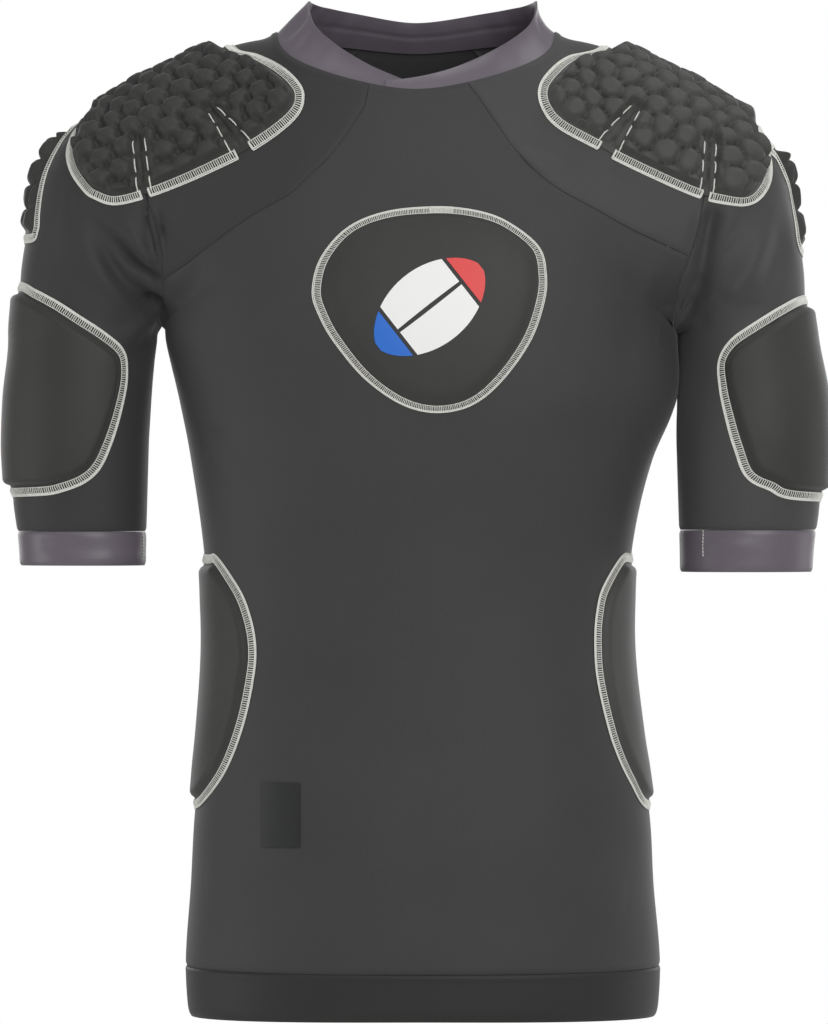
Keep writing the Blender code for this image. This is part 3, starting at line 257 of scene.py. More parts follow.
def foldLines():
    lines = []
    for row in foldRows:
        f = dict(zip(foldColumns, row))
        t = np.linspace(0, 1, foldShape["points"])
        run = np.array([f["x2"] - f["x1"], f["z2"] - f["z1"]])
        across = np.array([-run[1], run[0]]) / np.linalg.norm(run) * f["bow"]
        flat = np.array([f["x1"], f["z1"]]) + t[:, None] * run + (4 * t * (1 - t))[:, None] * across
        outside = min(abs(f["x1"]), abs(f["x2"])) > armpitX - foldShape["onSleeve"]
        line = seenAt(f["face"], flat[:, 0], flat[:, 1], armGap if outside else bodyGap)
        lines.append((line, f["width"], f["height"], f["face"]))
    return lines


# Crease height: a bell across the nearest place on the crease's line, times its swell and fade along the
# line, where the cloth looks towards that face
def foldHeight(p, normals):
    total, last = np.zeros(len(p)), foldShape["points"] - 1
    toward = {face: np.clip(sign * foldShape["facing"] * normals[:, 1], 0, 1)
              for face, sign in (("front", -1), ("back", 1))}
    for line, width, height, face in folds:
        room = np.ptp(line, axis=0).sum() + 4 * width
        near = np.flatnonzero(np.linalg.norm(p - line[last // 2], axis=1) < room)
        if not len(near):
            continue
        q, best, place = p[near], np.full(len(near), np.inf), np.zeros(len(near))
        for k in range(last):
            run = line[k + 1] - line[k]
            share = np.clip((q - line[k]) @ run / (run @ run), 0, 1)
            away = np.linalg.norm(q - line[k] - share[:, None] * run, axis=1)
            closer = away < best
            best, place = np.where(closer, away, best), np.where(closer, (k + share) / last, place)
        fade = ease((place - foldShape["fadeFrom"]) / (1 - foldShape["fadeFrom"]))
        swell = ease(place / foldShape["swell"] + foldShape["start"]) * (1 - foldShape["fade"] * fade)
        total[near] += height * np.exp(-((best / width) ** 2)) * (swell * toward[face][near])
    return total


# Under the left arm the body and the sleeve press against each other: by level, how far both walls swell
# sideways, each as a bell in depth, the two bells apart. A wall counts by how squarely it faces the other
# one; the web between them, where it faces down, sags.
pressRows = np.array([(-0.270, 0.0), (-0.258, 0.0012), (-0.240, 0.0036), (-0.2165, 0.0060), (-0.200, 0.0)])
press = {"apart": 0.018, "reach": 0.020, "sag": 0.010, "web": 0.02, "webDeep": 0.035}


def pressHeight(gap, p, normals):
    x, y, z = p.T
    toSleeve = -1 if gap is armGap else 1
    facing = np.clip(normals[:, 0] * toSleeve, 0, 1) * (x > 0)
    swell = np.interp(z, pressRows[:, 0], pressRows[:, 1])
    swell = swell * facing * np.exp(-(((y + toSleeve * press["apart"]) / press["reach"]) ** 2))
    web = np.hypot(x - armpitX, z - armpitZ) < press["web"]
    sag = press["sag"] * np.clip(-normals[:, 2], 0, 1) * np.exp(-((y / press["webDeep"]) ** 2))
    return swell + sag * web


# Under the right arm the gap is only drawn in to a point: by level, the share by which it narrows about its
# middle
pinchRows = np.array([
    (-0.290, 0.0), (-0.2624, 0.15), (-0.248, 0.27), (-0.2336, 0.45), (-0.2192, 0.74), (-0.2080, 0.78),
    (-0.198, 0.30), (-0.188, 0.0),
])
pinch = {"middle": -0.1825, "reach": 0.014, "deep": 0.080}


def pinched(p):
    off = p[:, 0] - pinch["middle"]
    share = np.interp(p[:, 2], pinchRows[:, 0], pinchRows[:, 1])
    share = share * np.exp(-((off / pinch["reach"]) ** 2) - (p[:, 1] / pinch["deep"]) ** 2)
    return p - np.outer(off * share, [1.0, 0.0, 0.0])


# The seam allowance inside the neckline shows as a low ridge a little way out from it
neckRidge = {"away": 0.0034, "reach": 0.0016, "height": 0.0008, "near": 0.020, "lowest": -0.085}


def neckDistance(p):
    away = np.full(len(p), 1.0)
    beside = np.abs(p[:, 0]) < neck["halfWidth"] + neckRidge["near"]
    near = np.flatnonzero(beside & (p[:, 2] > neckRidge["lowest"]))
    if len(near):
        away[near] = np.linalg.norm(p[near, None] - neckLine[None], axis=2).min(axis=1)
    return away


folds = foldLines()


# Places on the surface moved out by creases, press and ridge, and the way out there
def dressed(gap, p):
    normals = unit(slopeOf(gap, p))
    ridge = np.exp(-(((neckDistance(p) - neckRidge["away"]) / neckRidge["reach"]) ** 2))
    out = foldHeight(p, normals) + pressHeight(gap, p, normals) + neckRidge["height"] * ridge
    return pinched(p + normals * out[:, None]), normals


# Running length along a grid of points or a line, from 0 at its start
def lengthsOf(points, axis=0):
    steps = np.linalg.norm(np.diff(points[..., :3], axis=axis), axis=-1)
    zero = np.zeros_like(np.take(steps, [0], axis=axis))
    return np.concatenate([zero, np.cumsum(steps, axis=axis)], axis=axis)


# Points at the given shares of a line's length
def atShares(points, shares):
    lengths = lengthsOf(points)
    return np.stack([np.interp(np.asarray(shares) * lengths[-1], lengths, points[:, k])
                     for k in range(points.shape[1])], axis=1)


# Even shares from 0 to 1, closer together at the ends named, where a seam needs a finer edge
edgeShares = np.array([0.22, 0.5])


def shares(count, start=False, end=False):
    even = np.linspace(0, 1, count + 1)
    fine = even[1] * edgeShares
    return np.concatenate([[0], fine if start else [], even[1:-1], 1 - fine[::-1] if end else [], [1]])


neck = {"halfWidth": 0.100, "front": 0.0775, "back": 0.069, "frontPower": 0.6, "backPower": 0.8,
        "above": 0.12, "drop": 0.25, "steps": 80, "points": 480}


# The neckline by angle from the front: an oval seen from above, dropped onto the form
def neckline(turns):
    sine, cosine = np.sin(turns), np.cos(turns)
    y = np.where(cosine > 0, -neck["front"] * np.abs(cosine) ** neck["frontPower"],
                 neck["back"] * np.abs(cosine) ** neck["backPower"])
    start = np.stack([neck["halfWidth"] * sine, y, np.full(len(turns), neck["above"])], axis=1)
    down = np.tile([0.0, 0.0, -1.0], (len(turns), 1))
    return firstCrossing(topGap, start, down, neck["drop"], neck["steps"])


neckLine = neckline(np.linspace(0, 2 * math.pi, neck["points"]))


# Middle of the sleeve at a distance along it, and the way from there to its upper side
def sleeveStation(side, along):
    inner, outer, front, back = np.moveaxis(sleeveAt(along), -1, 0)
    middle, turn = (inner + outer) / 2, np.clip(along / headArc, 0, math.pi / 2)
    x = armpitX + middle * np.sin(turn) + np.minimum(along, 0)
    z = armpitZ + middle * np.cos(turn) - np.maximum(along - armStart, 0)
    swingX, swingY, swingZ, _ = swingAt(side * x, z)
    centre = np.stack([side * (x + swingX), (back - front) / 2 + swingY, z + swingZ], axis=-1)
    return centre, np.stack([side * np.sin(turn), 0 * turn, np.cos(turn)], axis=-1)


# Rings of points round the sleeve; turns are angles from its upper side towards the front
def sleeveRings(side, along, turns):
    centre, outward = sleeveStation(side, np.broadcast_to(along, turns.shape))
    way = np.cos(turns)[..., None] * outward + np.sin(turns)[..., None] * np.array([0.0, -1.0, 0.0])
    found = firstCrossing(armGap, centre.reshape(-1, 3), way.reshape(-1, 3), searchReach["sleeve"])
    return found.reshape(way.shape)


# Yoke seams from the neckline to the armhole, seen from the front and from behind; the right one runs lower
yokeFront = {
    "right": np.array([
        (0.0330, -0.0475), (0.0345, -0.0567), (0.0410, -0.0696), (0.0501, -0.0823), (0.0631, -0.0965),
        (0.0798, -0.1085), (0.0913, -0.1177), (0.1031, -0.1240), (0.1150, -0.1300), (0.1474, -0.1505),
        (0.1765, -0.1715), (0.1885, -0.1800)]),
    "left": np.array([
        (0.0360, -0.0465), (0.0403, -0.0520), (0.0473, -0.0611), (0.0594, -0.0767), (0.0721, -0.0920),
        (0.0853, -0.1026), (0.1017, -0.1141), (0.1300, -0.1290), (0.1580, -0.1440), (0.1770, -0.1525),
        (0.1970, -0.1620)]),
}
yokeBack = np.array([(0.040, -0.004), (0.080, -0.040), (0.130, -0.082), (0.1845, -0.125)])
# How far along the sleeve the armhole runs, by angle about its middle from the armpit up the front to the
# top; it comes back to the armpit's own plane behind
armholeRows = {
    "right": np.array([(0, 0.0), (40, -0.0040), (64, -0.0042), (78, 0.0012), (91, 0.0080), (120, 0.0120),
                       (180, 0.0080), (235, 0.0), (360, 0.0)]),
    "left": np.array([(0, 0.0), (40, 0.0090), (64, 0.0220), (78, 0.0250), (91, 0.0240), (120, 0.0220),
                      (180, 0.0130), (235, 0.0), (360, 0.0)]),
}
# Points on each line before it is cut into shares; smoothing of the armhole in points, and its ease at the
# armpit in radians; the stretch over which a yoke seam leaves the neckline
seamSteps = {"armhole": 721, "smooth": 20, "armpit": 0.3, "yoke": 160, "neckEase": 0.06, "neckSide": 241,
             "neckEnd": 121}


# The armhole from the armpit up the front, over the top and down the back, in three runs. Each point also
# holds its distance along the sleeve and its angle.
def armhole(word):
    turns = np.linspace(math.pi, -math.pi, seamSteps["armhole"])
    rows, soft = armholeRows[word], seamSteps["smooth"]
    along = np.interp(180 - np.degrees(turns), rows[:, 0], rows[:, 1])
    window = np.ones(2 * soft + 1) / (2 * soft + 1)
    along = np.convolve(np.pad(along, soft, mode="edge"), window, mode="valid")
    along = along * ease((math.pi - np.abs(turns)) / seamSteps["armpit"])
    loop = np.column_stack([sleeveRings(sides[word], along, turns), along, turns])
    first = int(np.argmax(loop[:, 2] > yokeFront[word][-1, 1]))
    last = len(loop) - 1 - int(np.argmax((loop[:, 2] > yokeBack[-1, 1])[::-1]))
    return loop[:first + 1], loop[first:last + 1], loop[last:]


# A yoke seam: its rows stretched sideways to end at the armhole
def yokeSeam(word, face, rows, neckPoint, armPoint):
    x = np.linspace(abs(neckPoint[0]), abs(armPoint[0]), seamSteps["yoke"])[1:-1]
    stretch = (abs(armPoint[0]) - rows[0, 0]) / (rows[-1, 0] - rows[0, 0])
    z = curveThrough(rows[0, 0] + (rows[:, 0] - rows[0, 0]) * stretch, rows[:, 1:])(x)[:, 0]
    z = z + (neckPoint[2] - rows[0, 1]) * (1 - ease((x - x[0]) / seamSteps["neckEase"]))
    return np.vstack([neckPoint, seenAt(face, sides[word] * x, z, topGap), armPoint])


# Points round the body at a level, by angle from the front towards the wearer's left
def trunkRing(z, turns):
    z = np.broadcast_to(np.asarray(z, float), turns.shape)
    start = np.stack([trunkAt(z)[:, 3], 0 * turns, z], axis=1)
    way = np.stack([np.sin(turns), -np.cos(turns), 0 * turns], axis=1)
    return firstCrossing(bodyGap, start, way, searchReach["trunk"])


def makeSeams():
    seams = {}
    turnBack = math.asin(yokeBack[0, 0] / neck["halfWidth"])
    turnFront = {word: math.asin(yokeFront[word][0, 0] / neck["halfWidth"]) for word in sides}
    for word, side in sides.items():
        lowFront, over, lowBack = armhole(word)
        edge = neckline(side * np.linspace(turnFront[word], math.pi - turnBack, seamSteps["neckSide"]))
        seams[word] = {"lowFront": lowFront, "over": over, "lowBack": lowBack, "neck": edge,
                       "front": yokeSeam(word, "front", yokeFront[word], edge[0], over[0, :3]),
                       "back": yokeSeam(word, "back", yokeBack, edge[-1], over[-1, :3])}
    ends = {"neckFront": (-turnFront["right"], turnFront["left"]),
            "neckBack": (math.pi + turnBack, math.pi - turnBack)}
    for key, (start, end) in ends.items():
        seams[key] = neckline(np.linspace(start, end, seamSteps["neckEnd"]))
    return seams


# Fills the space between four edges with shared corners
def fillBetween(bottom, top, left, right, u, v):
    u, v = u[None, :, None], v[:, None, None]
    ruled = (1 - v) * bottom[None] + v * top[None] + (1 - u) * left[:, None] + u * right[:, None]
    return ruled - (1 - v) * ((1 - u) * bottom[0] + u * bottom[-1]) - v * ((1 - u) * top[0] + u * top[-1])


# Drawing boards, each bent about a line inside the body: its middle (x, y, z), its tilt in degrees and its
# radius
boardRows = {
    "shoulder": (0.150, 0.005, -0.082, 66.0, 0.072), "cap": (0.224, 0.003, -0.110, 14.0, 0.056),
    "biceps": (0.240, -0.003, -0.260, 0.0, 0.052), "rib": (0.060, 0.0, -0.460, 0.0, 0.093),
    "chest": (0.010, 0.0, -0.200, 0.0, 0.112),
}


# Places on a board are a distance along its line and a distance round it. The side is -1 or 1 for a board
# that faces the wearer's right or left, and 0 for one that faces the front.
def boardAt(kind, side, moved=(0.0, 0.0)):
    x, y, z, tilt, radius = boardRows[kind]
    tilt = math.radians(tilt)
    return {"origin": np.array([x * (side or 1) + moved[0], y + moved[1], z]), "radius": radius,
            "along": np.array([side * math.sin(tilt), 0.0, -math.cos(tilt)]),
            "out": np.array([side * math.cos(tilt), 0.0, math.sin(tilt)] if side else [0.0, -1.0, 0.0]),
            "side": np.array([0.0, -1.0, 0.0] if side else [1.0, 0.0, 0.0])}


def ontoBoard(board, p):
    rel = p - board["origin"]
    return np.stack([rel @ board["along"],
                     np.arctan2(rel @ board["side"], rel @ board["out"]) * board["radius"]], axis=1)


def offBoard(board, gap, flat):
    turn = flat[:, 1] / board["radius"]
    start = board["origin"] + flat[:, :1] * board["along"]
    way = np.cos(turn)[:, None] * board["out"] + np.sin(turn)[:, None] * board["side"]
    return firstCrossing(gap, start, way, searchReach["board"])


# Numbers of the four corners of every square of a grid, and the rows and columns they stand on
def gridQuads(rows, cols, ring):
    spans = np.arange(rows - 1), np.arange(cols if ring else cols - 1)
    r, c = (a.ravel() for a in np.meshgrid(*spans, indexing="ij"))
    d = (c + 1) % cols
    quads = np.stack([r * cols + c, r * cols + d, (r + 1) * cols + d, (r + 1) * cols + c], axis=1)
    return quads, np.stack([r, r, r + 1, r + 1], axis=1), np.stack([c, c + 1, c + 1, c], axis=1)


def addPiece(name, points, faces, look, corners=None, sharp=48):
    mesh = bpy.data.meshes.new(name)
    mesh.from_pydata(points.tolist(), [], [face for block in faces for face in block.tolist()])
    if corners is not None:
        layer = mesh.uv_layers.new(name="cloth")
        layer.data.foreach_set("uv", np.concatenate([block.reshape(-1) for block in corners]))
    mesh.shade_smooth()
    mesh.set_sharp_from_angle(angle=math.radians(sharp))
    mesh.materials.append(look)
    piece = bpy.data.objects.new(name, mesh)
    bpy.context.scene.collection.objects.link(piece)
    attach(piece, "root")
    return piece


# A closed thin shell: the outer grid, the same grid one wall further in, and the edges between them
def shell(name, outer, normals, wall, look, ring=False):
    rows, cols = outer.shape[:2]
    count = rows * cols
    inner = outer - normals * wall
    quads, r, c = gridQuads(rows, cols, ring)

    def wallQuads(a, b):
        return np.stack([a, b, b + count, a + count], axis=1)

    d = np.arange(cols if ring else cols - 1)
    e = (d + 1) % cols
    faces = [quads, quads[:, ::-1] + count, wallQuads(e, d), wallQuads(d, e) + (rows - 1) * cols]
    if not ring:
        f = np.arange(rows - 1) * cols
        faces += [wallQuads(f, f + cols), wallQuads(f + cols, f) + cols - 1]
    flat = outer.reshape(-1, 3)
    turned = np.cross(flat[quads[:, 1]] - flat[quads[:, 0]], flat[quads[:, 3]] - flat[quads[:, 0]])
    if (turned * normals.reshape(-1, 3)[quads[:, 0]]).sum() < 0:
        faces = [block[:, ::-1] for block in faces]
    closed = np.concatenate([outer, outer[:, :1]], axis=1)
    across = np.linalg.norm(np.diff(closed, axis=1), axis=2).mean(axis=0)
    upward = np.linalg.norm(np.diff(outer, axis=0), axis=2).mean(axis=1)
    u, v = np.concatenate([[0], np.cumsum(across)]), np.concatenate([[0], np.cumsum(upward)])
    corner = np.stack([u[c], v[r]], axis=2)
    flipped = (faces[0] != quads).any()
    corners = [corner[:, ::-1] if flipped else corner, corner if flipped else corner[:, ::-1]]
    corners += [np.zeros((len(block), 4, 2)) for block in faces[2:]]
    return addPiece(name, np.concatenate([flat, inner.reshape(-1, 3)]), faces, look, corners)


# A cloth panel: drawn in by half a seam gap at its sewn edges, less so by the armpits, and there it also
# rolls inward, less so by the neckline
jersey = {"wall": 0.0011, "seamGap": 0.0004, "roll": 0.0010, "rollReach": 0.0015, "neckReach": 0.006,
          "neckRoll": 0.25, "armpitReach": 0.03, "armpitShare": 0.2}
endEdges, allEdges = ("bottom", "top"), ("bottom", "top", "left", "right")
# For each edge: its row or column, the one beside it, and the axis they are counted on
edgePlaces = {"bottom": (0, 1, 0), "top": (-1, -2, 0), "left": (0, 1, 1), "right": (-1, -2, 1)}


def clothPiece(name, gap, grid, sewn, look, ring=False):
    points, normals = (a.reshape(grid.shape) for a in dressed(gap, grid.reshape(-1, 3)))
    upward, across = lengthsOf(points), lengthsOf(points, axis=1)
    room = {"bottom": upward, "top": upward[-1] - upward, "left": across, "right": across[:, -1:] - across}
    nearest = np.min([room[edge] for edge in sewn], axis=0)
    toNeck = neckDistance(grid.reshape(-1, 3)).reshape(nearest.shape)
    roll = jersey["roll"] * np.clip(toNeck / jersey["neckReach"], jersey["neckRoll"], 1)
    points = points - normals * (roll * np.exp(-(nearest / jersey["rollReach"]) ** 2))[..., None]
    for edge in sewn:
        at, beside, axis = edgePlaces[edge]
        rim = np.take(points, at, axis=axis)
        near = np.hypot(np.abs(rim[:, :1]) - armpitX, rim[:, 2:] - armpitZ)
        way = unit(np.take(points, beside, axis=axis) - rim) * jersey["seamGap"] / 2
        way = way * np.clip(near / jersey["armpitReach"] - 1, jersey["armpitShare"], 1)
        points[(at,) if axis == 0 else (slice(None), at)] += way
    return shell(name, points, normals, jersey["wall"], look, ring)


def standIn(piece, node):
    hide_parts(node)
    return piece


# Materials, each built from nodes by one small function: a value that is a socket is linked, any other is set
def addNode(tree, kind, inputs=None, **settings):
    made = tree.nodes.new(kind)
    for key, value in settings.items():
        setattr(made, key, value)
    for key, value in (inputs or {}).items():
        if isinstance(value, bpy.types.NodeSocket):
            tree.links.new(value, made.inputs[key])
        else:
            made.inputs[key].default_value = value
    return made


def colour(code):
    parts = [int(code[k:k + 2], 16) / 255 for k in (1, 3, 5)]
    return tuple(c / 12.92 if c <= 0.04045 else ((c + 0.055) / 1.055) ** 2.4 for c in parts) + (1.0,)


# The real gauge is about 0.6 mm; it is drawn at 1.2 mm so that it shows at all. Wale and course are in
# metres, and a wave repeats every pi / 10 over its scale. Clouds and specks are patches to the metre.
jerseyKnit = {"drift": 0.07, "wale": 0.0012, "course": 0.0010, "depth": 0.00010, "sheenRough": 0.45}
satinKnit = {"drift": 0.06, "wale": 0.0010, "course": 0.0010, "depth": 0.00006, "sheenRough": 0.35}
knitNoise = {"clouds": 16.0, "cloudDetail": 3.0, "specks": 900.0, "speckDetail": 1.0, "low": 0.7, "high": 1.3}
knitWave = {"Distortion": 0.6, "Detail": 1.0, "Detail Scale": 0.4}
knitStrength, threadGrain = 0.13, {"scale": 1400.0, "strength": 0.5, "depth": 0.00006}


def newMaterial(name, rough, specular):
    made = bpy.data.materials.new(name)
    made.use_nodes = True
    shader = made.node_tree.nodes["Principled BSDF"]
    shader.inputs["Roughness"].default_value = rough
    shader.inputs["Specular IOR Level"].default_value = specular
    return made, made.node_tree, shader


def bumped(tree, shader, height, strength, depth):
    bump = addNode(tree, "ShaderNodeBump", {"Height": height, "Strength": strength, "Distance": depth})
    tree.links.new(bump.outputs[0], shader.inputs["Normal"])


def sumOf(tree, a, b):
    return addNode(tree, "ShaderNodeMath", {0: a, 1: b}, operation="ADD").outputs[0]


# Knitted cloth: base colour with a slow drift, a fine knit in the bump from two crossed waves along the
# piece's own map, and a sheen that lightens it where it turns away
def knit(name, code, cloth, rough, sheen, specular):
    made, tree, shader = newMaterial(name, rough, specular)
    place = addNode(tree, "ShaderNodeTexCoord").outputs["Object"]
    noises = [addNode(tree, "ShaderNodeTexNoise", {"Vector": place, "Scale": knitNoise[kind + "s"],
                                                   "Detail": knitNoise[kind + "Detail"]}).outputs["Fac"]
              for kind in ("cloud", "speck")]
    shade = addNode(tree, "ShaderNodeMapRange", {
        "Value": sumOf(tree, *noises), "From Min": knitNoise["low"], "From Max": knitNoise["high"],
        "To Min": 1 - cloth["drift"], "To Max": 1 + cloth["drift"]})
    tone = addNode(tree, "ShaderNodeVectorMath", {0: colour(code)[:3], "Scale": shade.outputs[0]},
                   operation="SCALE")
    tree.links.new(tone.outputs[0], shader.inputs["Base Color"])
    flat = addNode(tree, "ShaderNodeUVMap", uv_map="cloth").outputs[0]
    waves = [addNode(tree, "ShaderNodeTexWave", {"Vector": flat, "Scale": math.pi / 10 / pitch, **knitWave},
                     wave_type="BANDS", bands_direction=axis).outputs["Fac"]
             for axis, pitch in (("X", cloth["wale"]), ("Y", cloth["course"]))]
    bumped(tree, shader, sumOf(tree, *waves), knitStrength, cloth["depth"])
    shader.inputs["Sheen Weight"].default_value = sheen
    shader.inputs["Sheen Roughness"].default_value = cloth["sheenRough"]
    return made


# One even colour, with a fine grain in the bump where asked for
def plain(name, code, rough, specular, grain=None):
    made, tree, shader = newMaterial(name, rough, specular)
    shader.inputs["Base Color"].default_value = colour(code)
    if grain:
        place = addNode(tree, "ShaderNodeTexCoord").outputs["Object"]
        noise = addNode(tree, "ShaderNodeTexNoise", {"Vector": place, "Scale": grain["scale"]})
        bumped(tree, shader, noise.outputs["Fac"], grain["strength"], grain["depth"])
    return made


# Polyester and elastane jersey: a dull charcoal that lightens softly towards the edges of the body
jerseyLook = knit("charcoal_stretch_jersey", "#3b3b3b", jerseyKnit, rough=0.62, sheen=0.16, specular=0.30)
# The same jersey doubled at the hem, a little smoother; its darker colour is painted shade
hemLook = knit("charcoal_hem_jersey_painted_shade", "#2b2b2b", jerseyKnit, rough=0.55, sheen=0.12, specular=0.30)
# The yokes and sleeves take copies of the jersey with painted light and shade: lighter on the wearer's left,
# darker on the wearer's right
litAndShadedJersey = {word: knit("charcoal_stretch_jersey_cut_across_" + word, code, jerseyKnit,
                         rough=0.62, sheen=0.16, specular=0.30)
              for word, code in (("right", "#363636"), ("left", "#434343"))}
# Jersey bonded over foam: tighter, so it is less velvety and shows soft highlights on its bulges. The second
# copy is lighter: painted light
padLook, paintedLightPadLook = (knit("charcoal_jersey_over_foam" + end, code, jerseyKnit,
                          rough=0.58, sheen=0.14, specular=0.32)
                     for end, code in (("", "#373736"), ("_painted_light_and_shade", "#454544")))
# Satin-faced jersey: smoother than the rest, with broad pale highlights along its folds
satinLook = knit("mauve_grey_satin_jersey", "#675f69", satinKnit, rough=0.42, sheen=0.22, specular=0.45)
# Polyester thread: off-white with a slight gloss, broken up by its twist
threadLook = plain("light_grey_polyester_thread", "#e2e2dc", 0.50, 0.40, threadGrain)
# Transfer film and print film: flat colours with an even half gloss that sets them off from the cloth
filmLook = plain("dark_transfer_film", "#262727", 0.45, 0.40)
whiteInk = plain("white_print_film", "#f4f4f2", 0.45, 0.40)
blueInk = plain("blue_print_film", "#2a6fd0", 0.45, 0.40)
redInk = plain("red_print_film", "#e2413f", 0.45, 0.40)
print("materials ready")

# Panels of the body: the top edge runs up one armhole, along the yoke seam, the neckline and the other yoke
# seam and down the other armhole; from each of its points a column runs straight down to the hem seam
panelSteps = {"front": {"arm": 26, "seam": 50, "neck": 24, "rows": 132},
              "back": {"arm": 26, "seam": 38, "neck": 20, "rows": 96}, "crowd": 1.25}
seams = makeSeams()
panels = {}
print("seams laid out")


def bodyPanel(face):
    n = panelSteps[face]
    right, left = seams["right"], seams["left"]
    arm, seam = shares(n["arm"], start=True), shares(n["seam"])
    runs = [s["lowFront"] if face == "front" else s["lowBack"][::-1] for s in (right, left)]
    low = [atShares(run, arm)[:, :3] for run in runs]
    middle = atShares(seams["neck" + face.title()], shares(n["neck"]))
    top = np.vstack([low[0][:-1], atShares(right[face], seam)[:0:-1], middle[:-1],
                     atShares(left[face], seam)[:-1], low[1][::-1]])
    turns = np.arctan2(top[:, 0] - trunkAt(top[:, 2])[:, 3], -top[:, 1] if face == "front" else top[:, 1])
    share = 1 - (1 - shares(n["rows"], start=True)[:, None]) ** panelSteps["crowd"]
    levels = hemSeam + share * (top[:, 2] - hemSeam)
    turns = np.broadcast_to(turns if face == "front" else math.pi - turns, levels.shape)
    grid = trunkRing(levels.ravel(), turns.ravel()).reshape(*levels.shape, 3)
    grid[-1] = top
    panels[face] = grid
    piece = clothPiece(face + "_panel", bodyGap, grid, allEdges, jerseyLook)
    return standIn(piece, face + "_body")


# A yoke wraps the shoulder, so it is filled in flat on a board bent over the shoulder and then brought off it
yokeSteps = {"along": 56, "over": 44}


def yokePiece(word):
    board = boardAt("shoulder", sides[word])
    u, v = shares(yokeSteps["along"], True, True), shares(yokeSteps["over"], True, True)
    runs = (("front", u), ("back", u), ("neck", v), ("over", v))
    edges = [atShares(seams[word][key], t)[:, :3] for key, t in runs]
    flat = fillBetween(*(ontoBoard(board, edge) for edge in edges), u, v)
    grid = offBoard(board, topGap, flat.reshape(-1, 2)).reshape(len(v), len(u), 3)
    grid[0], grid[-1], grid[:, 0], grid[:, -1] = edges
    piece = clothPiece("yoke_panel_" + word, topGap, grid, allEdges, litAndShadedJersey[word])
    return standIn(piece, "yoke_" + word)


cloths = {"front": bodyPanel("front"), "back": bodyPanel("back")}
for word in sides:
    cloths["yoke_" + word] = yokePiece(word)
print("body panels done")


# A sleeve is rings of points from the armhole down to the cuff seam, their angles eased towards an even
# spread
sleeve = {"head": 50, "arm": 40, "lowFront": 22, "over": 66, "lowBack": 34, "cuff": 8, "spread": 0.75}


def sleevePieces(word):
    side, s, cuffSeam = sides[word], seams[word], cuffSeams[word]
    head, arm = shares(sleeve["head"], start=True), shares(sleeve["arm"], end=True)
    runs = ("lowFront", "over", "lowBack")
    loop = np.vstack([atShares(s[run], shares(sleeve[run]))[:-1] for run in runs])
    along = np.vstack([loop[:, 3] + head[:, None] * (armStart - loop[:, 3]),
                       np.repeat(armStart + arm[1:, None] * (armpitZ - cuffSeam), len(loop), axis=1)])
    even = sleeve["spread"] * ease(along[:, :1] / along[-1, 0])
    turns = loop[:, 4] * (1 - even) + (math.pi - np.arange(len(loop)) * 2 * math.pi / len(loop)) * even
    rings = sleeveRings(side, along, turns)
    rings[0] = loop[:, :3]
    piece = clothPiece("sleeve_tube_" + word, armGap, rings, endEdges, litAndShadedJersey[word], ring=True)
    cloths["sleeve_" + word] = standIn(piece, "sleeve_" + word)
    down = along[-1, 0] + shares(sleeve["cuff"], True, True)[:, None] * (cuffSeam - cuffEdge)
    band = sleeveRings(side, down, np.repeat(turns[-1:], len(down), axis=0))
    band[0] = rings[-1]
    cuff = clothPiece("cuff_band_" + word, armGap, band, endEdges, satinLook, ring=True)
    cloths["cuff_" + word] = standIn(cuff, "cuff_" + word)


for word in sides:
    sleevePieces(word)
print("sleeves and cuffs done")

# The hem band follows the body down; in front it is lifted a little and stands out as a lip under its seam,
# and its lower edge is tucked in. Places of lip and tuck are shares of its height.
hem = {"frontLift": 0.003, "down": 16, "tuck": 0.0008, "tuckFrom": 0.7, "tuckSpan": 0.3,
       "lip": 0.0009, "lipAt": 0.04, "lipReach": 0.06, "lipEnd": 0.2, "lipEase": 0.6}


def hemPiece():
    top = np.vstack([panels["front"][0, :-1], panels["back"][0, :0:-1]])
    turns = np.arctan2(top[:, 0] - trunkAt(np.array([hemSeam]))[0, 3], -top[:, 1])
    lift = hem["frontLift"] * np.clip(np.cos(turns), 0, 1)
    down = shares(hem["down"], True, True)[:, None]
    levels = hemSeam + (hemEdge - hemSeam + lift) * down
    rows = trunkRing(levels.ravel(), np.tile(turns, len(down))).reshape(len(down), -1, 3)
    rows[0] = top
    outward = unit((rows[-1] - rows[-1].mean(axis=0)) * np.array([1.0, 1.0, 0.0]))
    lip = hem["lip"] * np.exp(-((down - hem["lipAt"]) / hem["lipReach"]) ** 2)
    lip = lip * ease((np.cos(turns) + hem["lipEnd"]) / hem["lipEase"])
    tuck = hem["tuck"] * ease((down - hem["tuckFrom"]) / hem["tuckSpan"]) ** 2
    rows = rows + outward * (lip - tuck)[..., None]
    piece = clothPiece("hem_ring", bodyGap, rows, endEdges, hemLook, ring=True)
    return standIn(piece, "hem_band")


cloths["hem"] = hemPiece()

# The collar by angle from the front: how wide it shows, and how far it leans in towards the neck
collarRows = np.array([
    (-13, 0.0042, 0.34), (0, 0.0090, 0.34), (15, 0.0130, 0.36), (30, 0.0175, 0.42), (50, 0.0228, 0.52),
    (75, 0.0264, 0.60), (98, 0.0282, 0.60), (116, 0.0292, 0.58), (140, 0.0262, 0.54), (180, 0.0230, 0.50),
    (220, 0.0262, 0.54),
])
